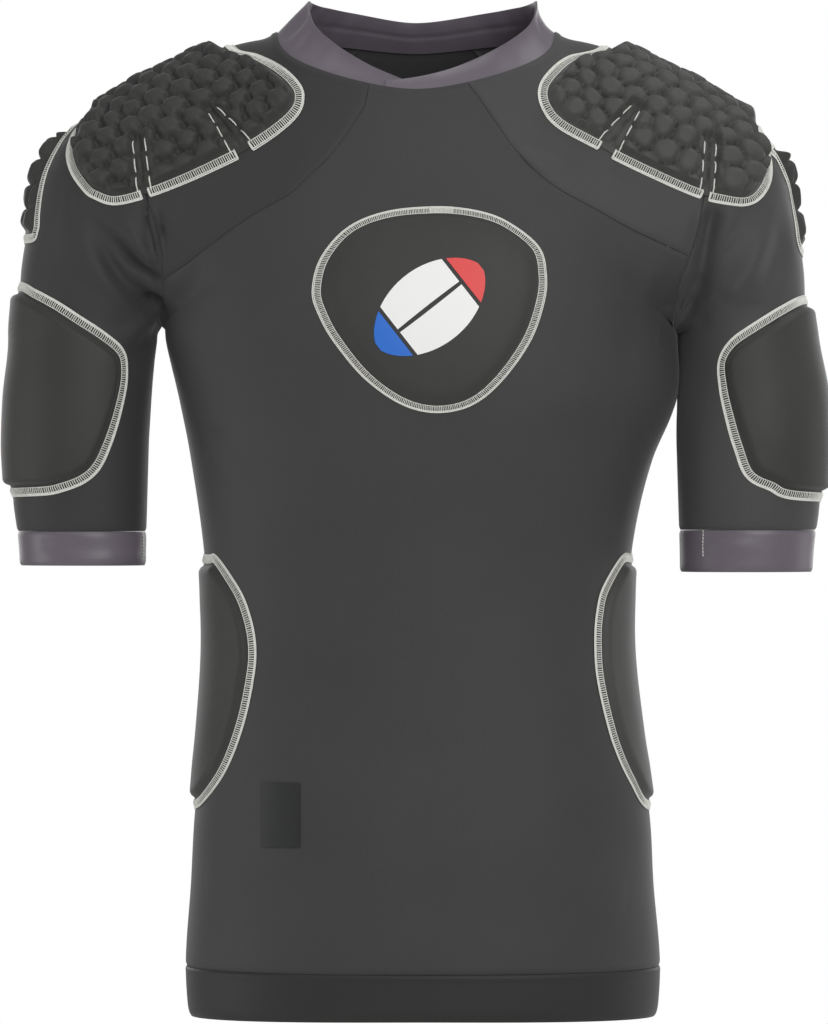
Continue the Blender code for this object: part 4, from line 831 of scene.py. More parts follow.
# Its upper end laps over its lower one, which is moved round and drawn in; it bows in at half height, ripples
# all round, crumples over the shoulders and has a crease behind. Angles are in degrees, the lap's in radians.
collar = {"around": 240, "up": 20, "wall": 0.0014, "sway": 0.005, "belly": 0.08, "seat": 0.0012,
          "fullWidth": 0.03, "shift": 12.0, "shiftFrom": 300, "shiftSpan": 60,
          "lap": 0.0024, "lapFrom": 0.75, "lapSpan": 0.45, "over": 0.0010, "overFrom": 30,
          "overSpan": 25, "crumpleReach": 3.6, "crease": 0.0009, "creaseAt": 0.52, "creaseReach": 0.06,
          "creaseHalf": 70, "creaseEase": 30}
ripples = {"height": 0.0006, "waves": 9, "shift": 1.1, "beats": 4, "beatShift": 0.4, "low": 0.0003,
           "lowWaves": 23}
crumples = ((254, 0.0014), (263, -0.0020), (272, 0.0020), (281, -0.0020), (291, 0.0014), (72, 0.0010),
            (90, -0.0014))


# One strip from its upper end in front, round the neck, to its lower end behind the upper one
def collarPiece():
    c, r, cross = collar, ripples, -collarRows[0, 0]
    degrees = np.linspace(-cross, 360 + cross, c["around"] + 1)
    turns = np.radians(degrees)
    moved = degrees + c["shift"] * ease((degrees - c["shiftFrom"]) / c["shiftSpan"])
    rowsAt = curveThrough(collarRows[:, 0], collarRows[:, 1:])
    width, lean = rowsAt(np.minimum(moved, 360 - moved)).T[..., None]
    base = neckline(turns)
    inward = -unit(base * np.array([1.0, 1.0, 0.0]))
    base = base + inward * c["seat"]
    rise = inward * lean + np.array([0.0, 0.0, 1.0]) * np.sqrt(1 - lean ** 2)
    lap = inward * ease((turns - (2 * math.pi - c["lapFrom"])) / c["lapSpan"])[:, None] * c["lap"]
    lap = lap - inward * ease((c["overFrom"] - degrees) / c["overSpan"])[:, None] * c["over"]
    share = shares(c["up"], True, True)[:, None, None]
    sway = np.abs(np.sin(turns))[:, None] * np.array([c["sway"], 0.0, 0.0])
    grid = base + rise * (width * share - c["seat"] * (1 - share)) + lap + share * sway
    grid = grid + inward * 4 * share * (1 - share) * width * c["belly"]
    normals = unit(np.cross(np.gradient(grid, axis=1), np.gradient(grid, axis=0)))
    normals *= -np.sign((normals * inward[None]).sum(axis=2, keepdims=True))
    ripple = r["height"] * np.sin(turns * r["waves"] + r["shift"])
    ripple = ripple * np.sin(turns * r["beats"] + r["beatShift"])
    ripple = ripple + r["low"] * np.sin(turns * r["lowWaves"])
    for at, height in crumples:
        ripple = ripple + height * np.exp(-(((degrees - at) / c["crumpleReach"]) ** 2))
    ripple = ripple[None, :, None] * 4 * share * (1 - share) * np.clip(width / c["fullWidth"], 0, 1)
    grid = grid + normals * ripple
    behind = ease((c["creaseHalf"] - np.abs(degrees - 180)) / c["creaseEase"])[None, :, None]
    bell = np.exp(-(((share - c["creaseAt"]) / c["creaseReach"]) ** 2))
    grid = grid + normals * c["crease"] * behind * bell
    piece = shell("collar_band", grid, normals, c["wall"], satinLook)
    return standIn(piece, "collar")


cloths["collar"] = collarPiece()
print("hem and collar done")


# A smooth closed line through the points, in even steps
curveSteps = 24


def closedCurve(points, step):
    t = np.linspace(0, 1, curveSteps + 1)[:-1, None]
    a, b, c, d = (np.roll(points, -k, axis=0)[:, None] for k in (-1, 0, 1, 2))
    line = 2 * b + (c - a) * t + (2 * a - 5 * b + 4 * c - d) * t ** 2 + (3 * b - a - 3 * c + d) * t ** 3
    line = (line / 2).reshape(-1, 2)
    line = np.vstack([line, line[:1]])
    count = int(round(lengthsOf(line)[-1] / step))
    return atShares(line, np.arange(count) / count)


# Distance of each place inside the outline to its edge; negative outside
def outlineDistance(points, outline):
    a, b = outline, np.roll(outline, -1, axis=0)
    run, rel = b - a, points[:, None] - a[None]
    share = np.clip((rel * run).sum(axis=2) / (run * run).sum(axis=1), 0, 1)
    away = np.linalg.norm(rel - share[..., None] * run, axis=2).min(axis=1)
    straddles = (a[:, 1] > points[:, 1:2]) != (b[:, 1] > points[:, 1:2])
    rise = np.where(run[:, 1] == 0, 1e-12, run[:, 1])
    crossing = a[:, 0] + (points[:, 1:2] - a[:, 1]) * run[:, 0] / rise
    inside = (straddles & (points[:, :1] < crossing)).sum(axis=1) % 2 == 1
    return np.where(inside, away, -away)


# Places of the bubbles: a honeycomb, or rows that are less staggered, each place moved a little at random
def hexPlaces(low, high, pitch, jitter, stagger, seed):
    rowStep = pitch * math.sqrt(0.75)
    rows = np.arange(math.floor(low[1] / rowStep) - 1, math.ceil(high[1] / rowStep) + 2)
    cols = np.arange(math.floor(low[0] / pitch) - 1, math.ceil(high[0] / pitch) + 2)
    r, c = np.meshgrid(rows, cols, indexing="ij")
    places = np.stack([((c + stagger * (r % 2)) * pitch).ravel(), (r * rowStep).ravel()], axis=1)
    return places + np.random.default_rng(seed).uniform(-jitter, jitter, places.shape) * pitch


# Bubble height from 0 to 1: a dome over each cell. It falls towards the line halfway to the next cell, by an
# amount of its own for each pair of neighbours, and is pinched down at the corners where three cells meet.
bubbles = {"lift": (0.84, 1.0), "seed": 7, "pairs": 997, "mix": 31, "placeSeed": {"right": 5, "left": 11}}


def bubbleShare(flat, places, p):
    away = np.linalg.norm(flat[:, None] - places[None], axis=2)
    order = np.argpartition(away, 2, axis=1)[:, :3]
    near = np.take_along_axis(away, order, axis=1)
    rank = np.argsort(near, axis=1)
    order, near = np.take_along_axis(order, rank, axis=1), np.take_along_axis(near, rank, axis=1)
    edge = np.clip((near[:, 1] - near[:, 0]) / (p["edge"] * p["pitch"]), 0, 1)
    corner = np.clip((near[:, 2] - near[:, 0]) / (p["pit"] * p["pitch"]), 0, 1)
    rng = np.random.default_rng(bubbles["seed"])
    lift = rng.uniform(*bubbles["lift"], len(places))[order[:, 0]]
    pair = (order[:, 0] + order[:, 1]) * bubbles["mix"] % bubbles["pairs"]
    saddle = rng.uniform(*p["saddle"], bubbles["pairs"])[pair]
    return np.clip(lift * (1 - saddle * (1 - edge) ** 2) - p["pinch"] * (1 - corner) ** 2, 0, 1)


# Outlines seen from the front, from one end at the pad's middle line round to the other; the far half mirrors
# it. The two sides hang a little differently.
shoulderOutline = {
    "right": np.array([
        (0.1310, -0.0120), (0.1151, -0.0178), (0.0968, -0.0284), (0.0845, -0.0410), (0.0822, -0.0509),
        (0.0864, -0.0609), (0.0999, -0.0729), (0.1170, -0.0842), (0.1283, -0.0905), (0.1603, -0.1053),
        (0.1894, -0.1165), (0.2130, -0.1222), (0.2266, -0.1185), (0.2346, -0.1127), (0.2436, -0.0993),
        (0.2472, -0.0850), (0.2445, -0.0725), (0.2390, -0.0630)]),
    "left": np.array([
        (0.1325, -0.0120), (0.1115, -0.0190), (0.0953, -0.0329), (0.0895, -0.0449), (0.0929, -0.0579),
        (0.1036, -0.0692), (0.1285, -0.0825), (0.1434, -0.0911), (0.1732, -0.1053), (0.1995, -0.1165),
        (0.2130, -0.1201), (0.2330, -0.1228), (0.2440, -0.1170), (0.2510, -0.1040), (0.2515, -0.0880),
        (0.2465, -0.0740)]),
}
# Darts in its front edge: mouth, tip, how far the dashes stand to each side there, and half the gap in the
# edge seam
dartRows = {
    "right": np.array([(0.1227, -0.0862, 0.1454, -0.0574, 0.0085, 0.0034, 0.0060),
                       (0.1922, -0.1174, 0.1961, -0.0777, 0.0048, 0.0044, 0.0030)]),
    "left": np.array([(0.1355, -0.0855, 0.1568, -0.0560, 0.0085, 0.0034, 0.0060),
                      (0.2058, -0.1181, 0.2079, -0.0802, 0.0048, 0.0044, 0.0030)]),
}
capOutline = {
    "right": np.array([
        (0.2460, -0.0670), (0.2522, -0.0745), (0.2588, -0.0860), (0.2650, -0.1010), (0.2676, -0.1126),
        (0.2697, -0.1290), (0.2708, -0.1420), (0.2760, -0.1475)]),
    "left": np.array([
        (0.2520, -0.0810), (0.2580, -0.0890), (0.2630, -0.0990), (0.2685, -0.1150), (0.2715, -0.1330),
        (0.2735, -0.1490), (0.2765, -0.1560)]),
}
bicepsOutline = {
    "right": np.array([
        (0.2815, -0.1815), (0.2715, -0.1870), (0.2569, -0.1950), (0.2390, -0.2068), (0.2226, -0.2178),
        (0.2112, -0.2285), (0.2081, -0.2400), (0.2101, -0.2604), (0.2191, -0.2932), (0.2303, -0.3146),
        (0.2502, -0.3252), (0.2752, -0.3287)]),
    "left": np.array([
        (0.2745, -0.1917), (0.2593, -0.1998), (0.2354, -0.2150), (0.2233, -0.2250), (0.2174, -0.2370),
        (0.2180, -0.2530), (0.2220, -0.2740), (0.2284, -0.2969), (0.2362, -0.3161), (0.2512, -0.3246),
        (0.2731, -0.3316)]),
}
ribOutline = {
    "right": np.array([
        (0.1480, -0.3765), (0.1415, -0.3775), (0.1270, -0.3984), (0.1190, -0.4180), (0.1154, -0.4380),
        (0.1166, -0.4585), (0.1240, -0.4933), (0.1364, -0.5256), (0.1495, -0.5450), (0.1570, -0.5525)]),
    "left": np.array([
        (0.1530, -0.3760), (0.1465, -0.3770), (0.1343, -0.3970), (0.1297, -0.4150), (0.1284, -0.4360),
        (0.1306, -0.4637), (0.1407, -0.5050), (0.1532, -0.5339), (0.1640, -0.5520)]),
}
chestOutline = np.array([
    (0.0169, -0.1305), (0.0440, -0.1335), (0.0640, -0.1410), (0.0840, -0.1570), (0.0890, -0.1765),
    (0.0870, -0.1965), (0.0770, -0.2235), (0.0570, -0.2510), (0.0370, -0.2665), (0.0133, -0.2710),
    (-0.0100, -0.2650), (-0.0340, -0.2480), (-0.0545, -0.2235), (-0.0660, -0.2030), (-0.0700, -0.1865),
    (-0.0635, -0.1635), (-0.0450, -0.1435), (-0.0180, -0.1333),
])
outlines = {"shoulder": shoulderOutline, "cap": capOutline, "biceps": bicepsOutline, "rib": ribOutline,
            "chest": {"": chestOutline}}
# Heights over the cloth: foam where it starts and at its crown; how far in the foam starts and over what
# distance it rises (more slowly near the middle line of bubbled foam); the bubbles' spacing and unevenness;
# spacing of the mesh, and how far its rings crowd towards the rim; how the cap thins downwards
pads = {
    "shoulder": {"valley": 0.0044, "crest": 0.0112, "start": 0.0030, "rise": 0.0038, "slowRise": 0.0105,
                 "slow": 0.036, "pitch": 0.0176, "jitter": 0.12, "stagger": 0.5, "step": 0.0013,
                 "crowd": 1.0},
    "cap": {"valley": 0.0026, "crest": 0.0106, "start": 0.0030, "rise": 0.0050, "slowRise": 0.0095,
            "slow": 0.020, "pitch": 0.0182, "jitter": 0.08, "stagger": 0.1, "step": 0.0013, "crowd": 1.0,
            "taper": 0.36, "taperFrom": -0.010, "taperSpan": 0.050},
    "biceps": {"valley": 0.0066, "crest": 0.0076, "start": 0.0052, "rise": 0.0050, "step": 0.0018,
               "crowd": 1.4},
    "rib": {"valley": 0.0050, "crest": 0.0058, "start": 0.0052, "rise": 0.0050, "step": 0.0022,
            "crowd": 1.4},
    "chest": {"valley": 0.0030, "crest": 0.0038, "start": 0.0040, "rise": 0.0100, "step": 0.0026,
              "crowd": 1.4},
}
# All pads: the rim under the stitches and where it rises, the way in to the crown of smooth foam, the lift of
# top and underside, how much wider apart the rings are than the points along them, and the rings underneath
padShape = {"rim": 0.0009, "rimFrom": -0.0014, "rimSpan": 0.0028, "crown": 0.03, "lift": 0.0003,
            "under": 0.0002, "apart": 1.4, "underRings": 6, "outlineStep": 0.002, "sharp": 70}
# All darts: how far out of its half width the foam is pressed flat, to what share, and the crease along it
dart = {"flank": 0.8, "pressed": 0.34, "rest": 0.66, "reach": 0.0050, "crease": 0.0018, "creaseHalf": 0.0010,
        "creaseEnd": 0.004}
# The bubbles' relief: the right shoulder's foam is pressed into ridges with deep pits at the corners of the
# cells, the left one's stands in separate cushions
cells = {
    ("shoulder", "right"): {"saddle": (0.10, 0.62), "pinch": 0.95, "edge": 0.80, "pit": 0.76},
    ("shoulder", "left"): {"saddle": (0.40, 0.72), "pinch": 0.34, "edge": 0.58, "pit": 0.40},
    ("cap", "right"): {"saddle": (0.60, 0.95), "pinch": 0.35, "edge": 0.66, "pit": 0.42},
    ("cap", "left"): {"saddle": (0.50, 0.85), "pinch": 0.30, "edge": 0.64, "pit": 0.40},
}


def dartsOnBoard(board, gap, word):
    darts = []
    for row in dartRows[word]:
        ends = seenAt("front", sides[word] * row[[0, 2]], row[[1, 3]], gap)
        darts.append((*ontoBoard(board, ends), *row[4:]))
    return darts


# Height of a pad over the cloth at places on its board: the rim rises from the cloth at the outline, the foam
# rises from the rim as a quarter round or, with bubbles standing on it, as an S, and each dart presses it
# flat on both sides of a crease
def padHeight(p, flat):
    room = outlineDistance(flat, p["outline"])
    height = padShape["rim"] * ease((room - padShape["rimFrom"]) / padShape["rimSpan"])
    rise = p["rise"]
    if "slowRise" in p:
        quick = ease((np.abs(flat[:, 1]) - p["slow"]) / p["slow"])
        rise = p["slowRise"] + (p["rise"] - p["slowRise"]) * quick
    t = np.clip((room - p["start"]) / rise, 0, 1)
    if "places" in p:
        foam = ease(t) * (p["valley"] + (p["crest"] - p["valley"]) * bubbleShare(flat, p["places"], p))
    else:
        crown = ease((room - p["start"]) / padShape["crown"])
        foam = p["valley"] * np.sqrt(1 - (1 - t) ** 2) + (p["crest"] - p["valley"]) * crown
    if "taper" in p:
        foam = foam * (1 - p["taper"] * ease((flat[:, 0] - p["taperFrom"]) / p["taperSpan"]))
    for mouth, tip, mouthHalf, tipHalf, _ in p["darts"]:
        way = tip - mouth
        place = ((flat - mouth) @ way) / (way @ way)
        across = np.abs((flat - mouth) @ np.array([-way[1], way[0]])) / np.linalg.norm(way)
        half = mouthHalf + (tipHalf - mouthHalf) * np.clip(place, 0, 1)
        beyond = np.clip(place - 1, 0, None) * np.linalg.norm(way)
        away = np.hypot(np.clip(across - half * dart["flank"], 0, None), beyond)
        foam = foam * (dart["pressed"] + dart["rest"] * ease(away / dart["reach"]))
        crease = dart["crease"] * np.exp(-((across / dart["creaseHalf"]) ** 2))
        foam = foam - crease * (1 - ease(beyond / dart["creaseEnd"])) * (room > 0)
    return height + np.clip(foam - height, 0, None)


# A pad as rings about its middle: the shaped top, a plain underside a little off the cloth, and a rim
def padPiece(name, node, look, p):
    around = closedCurve(p["outline"], p["step"])
    middle = (p["outline"].min(axis=0) + p["outline"].max(axis=0)) / 2
    count = int(np.linalg.norm(around - middle, axis=1).max() / p["step"] / padShape["apart"])
    below, cols = padShape["underRings"], len(around)
    radii = 1 - (1 - np.linspace(0, 1, count + 1)[1:]) ** p["crowd"], np.linspace(0, 1, below + 1)[1:]
    flat, under = (np.vstack([(middle + r[:, None, None] * (around - middle)).reshape(-1, 2), middle])
                   for r in radii)
    points, normals = dressed(p["gap"], offBoard(p["board"], p["gap"], flat))
    top = points + normals * (padHeight(p, flat) + padShape["lift"])[:, None]
    points, normals = dressed(p["gap"], offBoard(p["board"], p["gap"], under))
    bottom = points + normals * padShape["under"]
    faces, corners, ring = [], [], np.arange(cols)
    for base, places, rows in ((0, flat, count), (len(flat), under, below)):
        quads = gridQuads(rows, cols, True)[0] + base
        fan = np.stack([np.full(cols, rows * cols), ring, (ring + 1) % cols], axis=1) + base
        faces += [quads[:, ::-1], fan] if base == 0 else [quads, fan[:, ::-1]]
        corners += [places[block - base] for block in faces[-2:]]
    a = ring + (count - 1) * cols
    b = (ring + 1) % cols + (count - 1) * cols
    drop = len(flat) + (below - count) * cols
    faces.append(np.stack([a, a + drop, b + drop, b], axis=1))
    corners.append(np.zeros((cols, 4, 2)))
    points, fan = np.vstack([top, bottom]), faces[1]
    turned = np.cross(points[fan[:, 1]] - points[fan[:, 0]], points[fan[:, 2]] - points[fan[:, 0]])
    if (turned * (points[fan[:, 0]] - p["board"]["origin"])).sum() < 0:
        faces, corners = [f[:, ::-1] for f in faces], [c[:, ::-1] for c in corners]
    piece = standIn(addPiece(name, points, faces, look, corners, padShape["sharp"]), node)


padGaps = {"shoulder": topGap, "cap": topGap, "biceps": armGap, "rib": bodyGap, "chest": bodyGap}
padNodes = {"shoulder": "shoulder_pad_", "cap": "arm_cap_pad_", "biceps": "biceps_pad_", "rib": "rib_pad_",
            "chest": "chest_pad"}
# The left biceps pad hangs with its sleeve, and the rib pads follow the body's sway
ribMove = (0.0022, 0.0)
boardMoves = {("biceps", "left"): form["swing"], ("rib", "right"): ribMove, ("rib", "left"): ribMove}
# The wearer's left shoulder and rib pads take the lighter foam jersey: painted light
paintedLightPads = ("shoulder", "left"), ("rib", "left")


def makePad(kind, word):
    side, gap, rows = sides.get(word, 0), padGaps[kind], outlines[kind][word]
    board = boardAt(kind, side, boardMoves.get((kind, word), (0.0, 0.0)))
    p = dict(pads[kind], board=board, gap=gap, darts=[], **cells.get((kind, word), {}))
    outline = ontoBoard(board, seenAt("front", (side or 1) * rows[:, 0], rows[:, 1], gap))
    if side:
        outline = np.vstack([outline, outline[::-1] * np.array([1.0, -1.0])])
    p["outline"] = closedCurve(outline, padShape["outlineStep"])
    if kind == "shoulder":
        p["darts"] = dartsOnBoard(board, gap, word)
    if "pitch" in p:
        low, high = p["outline"].min(axis=0), p["outline"].max(axis=0)
        p["places"] = hexPlaces(low, high, p["pitch"], p["jitter"], p["stagger"], bubbles["placeSeed"][word])
    node = padNodes[kind] + word
    padPiece("foam_" + node, node, paintedLightPadLook if (kind, word) in paintedLightPads else padLook, p)
    return p


madePads = {(kind, word): makePad(kind, word) for kind in outlines for word in outlines[kind]}
print("pads done")




# Threads: many short tubes at once, as arrays. Each path has the same number of points; the ring of each tube
# stands across its path, flattened by its two radii, and its ends are closed.
def tubes(paths, ups, wide, high, round_=5, closed=False):
    count, steps = paths.shape[:2]
    ahead = np.roll(paths, -1, axis=1) - np.roll(paths, 1, axis=1) if closed else np.gradient(paths, axis=1)
    side = unit(np.cross(unit(ahead), ups))
    up = unit(np.cross(side, unit(ahead)))
    turn = np.arange(round_) * 2 * math.pi / round_
    wide, high = np.broadcast_to(wide, paths.shape[:2]), np.broadcast_to(high, paths.shape[:2])
    ring = (side[:, :, None] * np.cos(turn)[:, None] * wide[..., None, None]
            + up[:, :, None] * np.sin(turn)[:, None] * high[..., None, None])
    points = (paths[:, :, None] + ring).reshape(-1, 3)
    start = (np.arange(count) * steps * round_)[:, None, None]
    m = np.arange(steps if closed else steps - 1)[None, :, None]
    k = np.arange(round_)[None, None]
    n, l = (m + 1) % steps, (k + 1) % round_
    quads = np.stack([start + m * round_ + k, start + m * round_ + l, start + n * round_ + l,
                      start + n * round_ + k], axis=-1).reshape(-1, 4)
    caps = []
    if not closed:
        caps.append(start[:, 0] + np.arange(round_)[None, ::-1])
        caps.append(start[:, 0] + (steps - 1) * round_ + np.arange(round_)[None])
    return points, [quads] + caps


def joinParts(parts):
    points, faces, base = [], [], 0
    for part, blocks in parts:
        points.append(part)
        faces += [block + base for block in blocks]
        base += len(part)
    return np.vstack(points), faces


# Flatlock seam: a solid pair of rails on the outer side, rungs across the edge of the pad, and a thin rail
# inside. A rung runs over four places, from the second rail to the inner one; at a dart the threads turn in
# to the tail. The beads of a rail are its stitches.
seamStep = 0.0005
flatlock = {"outer": 0.0027, "tail": -0.0036, "rung": (0.0017, 0.0006, -0.0012, -0.0030), "uneven": 0.0002,
            "lift": (0.0003, 0.0005, 0.0005, 0.0002), "thread": 0.00036, "slant": 0.0003, "pitch": 0.0016,
            "wobble": 0.09, "railLift": 0.00022, "narrow": 0.78, "bead": (0.94, 1.06), "seed": 3,
            "tailAt": (-0.5, 0.6), "tailShare": (1.0, 0.8), "tailPoints": 7, "tailLift": 0.0004, "sharp": 80}
# Rails: place outward from the outline, half width, half height, and which stitches are narrow
railRows = ((0.0027, 0.00062, 0.00042, 0), (0.0017, 0.00062, 0.00046, 1), (-0.0030, 0.00038, 0.00032, 0))
# The chest pad's seam is narrower and finer, and its two ends overlap at the top
chestSeam = {"scale": 0.8, "pitch": 0.00125, "middle": (0.018, -0.1305), "overlap": 0.018, "lift": 0.0003,
             "climb": 4}


def edgeFrame(p):
    line = closedCurve(p["outline"], seamStep)
    run = unit(np.roll(line, -1, axis=0) - np.roll(line, 1, axis=0))
    out = np.stack([run[:, 1], -run[:, 0]], axis=1)
    if outlineDistance(line[:1] + out[:1] * padShape["outlineStep"], p["outline"])[0] > 0:
        out = -out
    return line, out


def onSeam(line, out, place, offset):
    i = np.arange(len(line) + 1)
    place = place % len(line)
    at = [np.interp(place, i, np.append(a[:, k], a[0, k])) for a in (line, out) for k in (0, 1)]
    return np.stack([at[0] + at[2] * offset, at[1] + at[3] * offset], axis=-1)


def lifted(p, flat, lift):
    shape = flat.shape[:-1]
    points, normals = dressed(p["gap"], offBoard(p["board"], p["gap"], flat.reshape(-1, 2)))
    height = padHeight(p, flat.reshape(-1, 2)) + padShape["lift"] + np.broadcast_to(lift, shape).ravel()
    return (points + normals * height[:, None]).reshape(*shape, 3), normals.reshape(*shape, 3)


# The stretches of the outline that are sewn: all of it, or what is left between the darts
def seamStretches(p, kind, line):
    length = len(line)
    if kind == "chest":
        x, z = chestSeam["middle"]
        middle = ontoBoard(p["board"], seenAt("front", [x], [z], bodyGap))
        start = np.argmin(np.linalg.norm(line - middle, axis=1)) - chestSeam["overlap"] / (2 * seamStep)
        return [(start, start + length + chestSeam["overlap"] / seamStep)]
    if not p["darts"]:
        return [(0.0, float(length))]
    cuts = []
    for mouth, _, _, _, half in p["darts"]:
        at = int(np.argmin(np.linalg.norm(line - mouth, axis=1)))
        cuts.append((at - half / seamStep, at + half / seamStep))
    cuts.sort()
    return [(cuts[0][1], cuts[1][0]), (cuts[1][1], cuts[0][0] + length)]


def flatlockPiece(kind, word):
    p = madePads[kind, word]
    line, out = edgeFrame(p)
    rng = np.random.default_rng(flatlock["seed"])
    f, parts, length = flatlock, [], len(line)
    scale = chestSeam["scale"] if kind == "chest" else 1.0
    pitch = (chestSeam["pitch"] if kind == "chest" else f["pitch"]) / seamStep
    for start, end in seamStretches(p, kind, line):
        closed = end - start == length
        count = int(round((end - start) / pitch))
        places = start + (np.arange(count) + 0.5) * (end - start) / count
        wobble = rng.uniform(-f["wobble"], f["wobble"], (count, 1)) * pitch
        reach = np.array(f["rung"]) + rng.uniform(-f["uneven"], f["uneven"], (count, 4))
        spot = places[:, None] + wobble + np.linspace(-0.5, 0.5, 4) * f["slant"] / seamStep
        over = chestSeam["lift"] * ease((spot - start - length) / chestSeam["climb"])
        path, up = lifted(p, onSeam(line, out, spot, reach * scale), np.array(f["lift"]) + over)
        parts.append(tubes(path, up, f["thread"] * scale, f["thread"] * scale, 4))
        steps = 2 * count if closed else 2 * count + 1
        spot = start + np.arange(steps) * (end - start) / (2 * count)
        over = chestSeam["lift"] * ease((spot - start - length) / chestSeam["climb"])
        bead = np.where(np.arange(steps) % 2, 1.0, f["narrow"]) * rng.uniform(*f["bead"], steps) * scale
        for offset, wide, high, shift in railRows:
            flat = onSeam(line, out, spot, np.full(steps, offset * scale))
            path, up = lifted(p, flat[None], f["railLift"] + over)
            parts.append(tubes(path, up, wide * np.roll(bead, shift), high, closed=closed))
        for at in (start, end) if p["darts"] else ():
            spot = at + np.array(f["tailAt"])[:, None] * np.ones(f["tailPoints"])
            inward = np.linspace(f["outer"], f["tail"], f["tailPoints"]) * np.array(f["tailShare"])[:, None]
            path, up = lifted(p, onSeam(line, out, spot, inward), f["tailLift"])
            parts.append(tubes(path, up, f["thread"], f["thread"]))
    name = ("flatlock_" + kind + "_" + word).rstrip("_")
    addPiece(name, *joinParts(parts), threadLook, sharp=f["sharp"])


for kind, word in madePads:
    flatlockPiece(kind, word)
print("flatlock seams done")

# Running stitches on both sides of each dart: three long dashes that dive in at their ends
dash = {"count": 3, "start": 0.12, "fill": 0.71, "wide": 0.00055, "high": 0.00042, "round": 6,
        "lift": (-0.0003, 0.0004, 0.0006, 0.0006, 0.0004, -0.0003)}


def dartStitches(word):
    p = madePads["shoulder", word]
    paths = []
    for mouth, tip, mouthHalf, tipHalf, _ in p["darts"]:
        way = tip - mouth
        across = np.array([-way[1], way[0]]) / np.linalg.norm(way)
        for hand in (-1, 1):
            a, b = mouth + across * hand * mouthHalf, tip + across * hand * tipHalf
            for k in range(dash["count"]):
                t = (k + dash["start"] + np.linspace(0, dash["fill"], len(dash["lift"]))) / dash["count"]
                paths.append(a + (b - a) * t[:, None])
    path, up = lifted(p, np.array(paths), np.array(dash["lift"]))
    points, faces = tubes(path, up, dash["wide"], dash["high"], dash["round"])
    addPiece("dart_stitches_" + word, points, faces, threadLook, sharp=flatlock["sharp"])


# A few short stitches where each cuff band is closed, near its inner side
cuffStitch = {"x": {"right": -0.1955, "left": 0.2043}, "drop": {"right": 0.0002, "left": 0.0045}, "count": 8,
              "pitch": 0.0024, "length": 0.0016, "lean": 0.0002, "wide": 0.00035, "high": 0.0003,
              "lift": (-0.0001, 0.0003, 0.0003, -0.0001)}


def cuffStitches(word):
    c = cuffStitch
    start = cuffSeams[word] - c["drop"][word] - np.arange(c["count"])[:, None] * c["pitch"]
    z = start - np.linspace(0, c["length"], len(c["lift"]))
    x = np.full(z.shape, c["x"][word]) + np.linspace(-c["lean"], c["lean"], len(c["lift"]))
    points, normals = dressed(armGap, seenAt("front", x.ravel(), z.ravel(), armGap))
    path = (points + normals * np.tile(c["lift"], c["count"])[:, None]).reshape(*z.shape, 3)
    points, faces = tubes(path, normals.reshape(path.shape), c["wide"], c["high"])
    addPiece("cuff_stitches_" + word, points, faces, threadLook, sharp=flatlock["sharp"])


for stitch in (dartStitches, cuffStitches):
    for word in sides:
        stitch(word)

# A plain tilted ball on the chest pad in thin print film: two white sides, a blue end and a red end. Places
# along it are shares s of half its length; its half width there goes with a power of 1 - s * s.
motif = {"middle": (0.0095, -0.1995), "tilt": 38.0, "length": 0.046, "width": 0.0275, "power": 0.62,
         "tip": 0.62, "gap": 0.030, "line": 0.06, "end": 0.985, "film": 0.00012, "lift": 0.00042,
         "steps": (36, 22)}


def motifPart(name, s0, s1, t0, t1, look):
    rows, cols = motif["steps"]
    s, t = np.meshgrid(np.linspace(s0, s1, rows), np.linspace(t0, t1, cols), indexing="ij")
    turn = math.radians(motif["tilt"])
    along = s * motif["length"]
    across = t * motif["width"] * (1 - s * s).clip(0) ** motif["power"]
    x = motif["middle"][0] + along * math.cos(turn) - across * math.sin(turn)
    z = motif["middle"][1] + along * math.sin(turn) + across * math.cos(turn)
    p = madePads["chest", ""]
    flat = ontoBoard(p["board"], seenAt("front", x.ravel(), z.ravel(), bodyGap))
    points, normals = lifted(p, flat, motif["lift"])
    return shell(name, points.reshape(*s.shape, 3), normals.reshape(*s.shape, 3), motif["film"], look)

tip, gap, line, end = (motif[key] for key in ("tip", "gap", "line", "end"))
motifPart("print_white_upper", -tip + gap, tip - gap, line, 1.0, whiteInk)
motifPart("print_white_lower", -tip + gap, tip - gap, -1.0, -line, whiteInk)
motifPart("print_blue_end", -end, -tip - gap, -1.0, 1.0, blueInk)
motifPart("print_red_end", tip + gap, end, -1.0, 1.0, redInk)

# The bare label: a thin patch on the cloth, between these sides and levels
label = {"box": (-0.1087, -0.0819, -0.5795, -0.5340), "wall": 0.0004, "lift": 0.0008, "steps": (30, 48)}


def labelPiece():
    x0, x1, z0, z1 = label["box"]
    cols, rows = label["steps"]
    x, z = np.meshgrid(np.linspace(x0, x1, cols), np.linspace(z0, z1, rows))
    points, normals = dressed(bodyGap, seenAt("front", x.ravel(), z.ravel(), bodyGap))
    points = (points + normals * label["lift"]).reshape(*x.shape, 3)
    piece = shell("label_patch", points, normals.reshape(*x.shape, 3), label["wall"], filmLook)
    return standIn(piece, "label")


cloths["label"] = labelPiece()
print("stitches, print and label done")

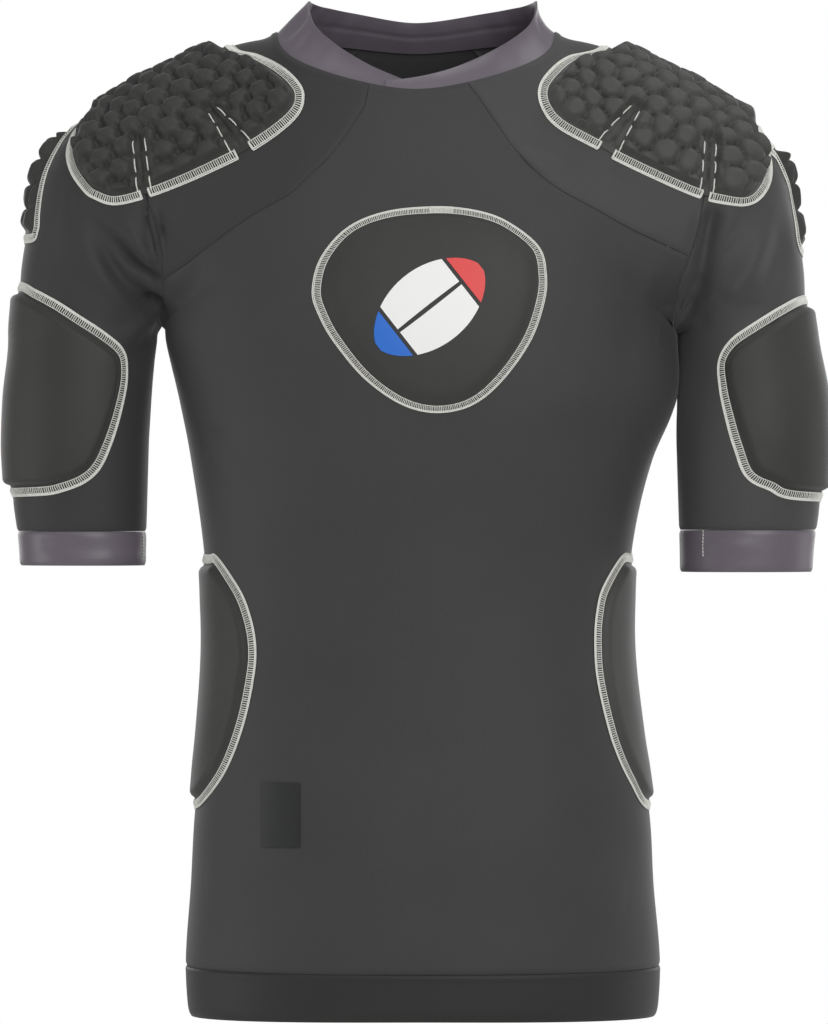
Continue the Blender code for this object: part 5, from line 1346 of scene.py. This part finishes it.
# Studio: white behind and a weak white glow all round. Soft square lights stand at the same distance about
# the middle of the top, each by its turn from the front towards the wearer's left, its height angle and its
# power.
studioLight = {"glow": 0.26, "aim": (0.0, 0.0, -0.30), "away": 2.7, "size": 1.3}
lightRows = (
    ("left_light", -75.0, -5.0, 16.0), ("upper_left_light", -30.0, 60.0, 8.5),
    ("front_light", 18.0, 18.0, 33.0), ("upper_right_light", 90.0, 60.0, 17.0),
    ("right_light", 105.0, -5.0, 8.0), ("back_left_light", -150.0, 8.0, 12.0),
    ("back_right_light", 150.0, 8.0, 12.0),
)
studioFloor = {"left": -4, "right": 4, "front": -5, "back": 4, "level": -1.3}
scene = bpy.context.scene
scene.view_settings.view_transform = "Standard"
studio = bpy.data.worlds.new("white_studio")
studio.use_nodes = True
background = studio.node_tree.nodes["Background"]
background.inputs["Color"].default_value = (1.0, 1.0, 1.0, 1.0)
seen = addNode(studio.node_tree, "ShaderNodeLightPath").outputs["Is Camera Ray"]
strength = addNode(studio.node_tree, "ShaderNodeMapRange",
                   {"Value": seen, "To Min": studioLight["glow"], "To Max": 1.0})
studio.node_tree.links.new(strength.outputs[0], background.inputs["Strength"])
scene.world = studio


def softLight(name, turn, height, power):
    turn, height = math.radians(turn), math.radians(height)
    lamp = bpy.data.lights.new(name, "AREA")
    lamp.size, lamp.energy = studioLight["size"], power
    made = bpy.data.objects.new(name, lamp)
    way = np.array([math.sin(turn) * math.cos(height), -math.cos(turn) * math.cos(height), math.sin(height)])
    made.location = np.array(studioLight["aim"]) + way * studioLight["away"]
    made.rotation_euler = (math.pi / 2 - height, 0.0, turn)
    scene.collection.objects.link(made)


for row in lightRows:
    softLight(*row)

ways = (("left", "front"), ("right", "front"), ("right", "back"), ("left", "back"))
floor = bpy.data.meshes.new("studio_floor")
corners = [(studioFloor[a], studioFloor[b], studioFloor["level"]) for a, b in ways]
floor.from_pydata(corners, [], [(0, 1, 2, 3)])
floor.materials.append(plain("pale_floor_paint", "#e4e4e2", 0.8, 0.2))
floorPiece = bpy.data.objects.new("studio_floor", floor)
scene.collection.objects.link(floorPiece)

# The photo's angle: level with the middle of the top, 4.5 m in front, 0.737 m of height in the picture
photoView = {"x": -0.0014, "z": -0.343, "away": 4.5, "halfHeight": 0.36864, "sensor": 24.0}
camera = bpy.data.cameras.new("photo_camera")
camera.sensor_fit, camera.sensor_height = "VERTICAL", photoView["sensor"]
camera.angle_y = 2 * math.atan(photoView["halfHeight"] / photoView["away"])
view = bpy.data.objects.new("photo_camera", camera)
view.location = (photoView["x"], -photoView["away"], photoView["z"])
view.rotation_euler = (math.pi / 2, 0.0, 0.0)
scene.collection.objects.link(view)
scene.camera = view
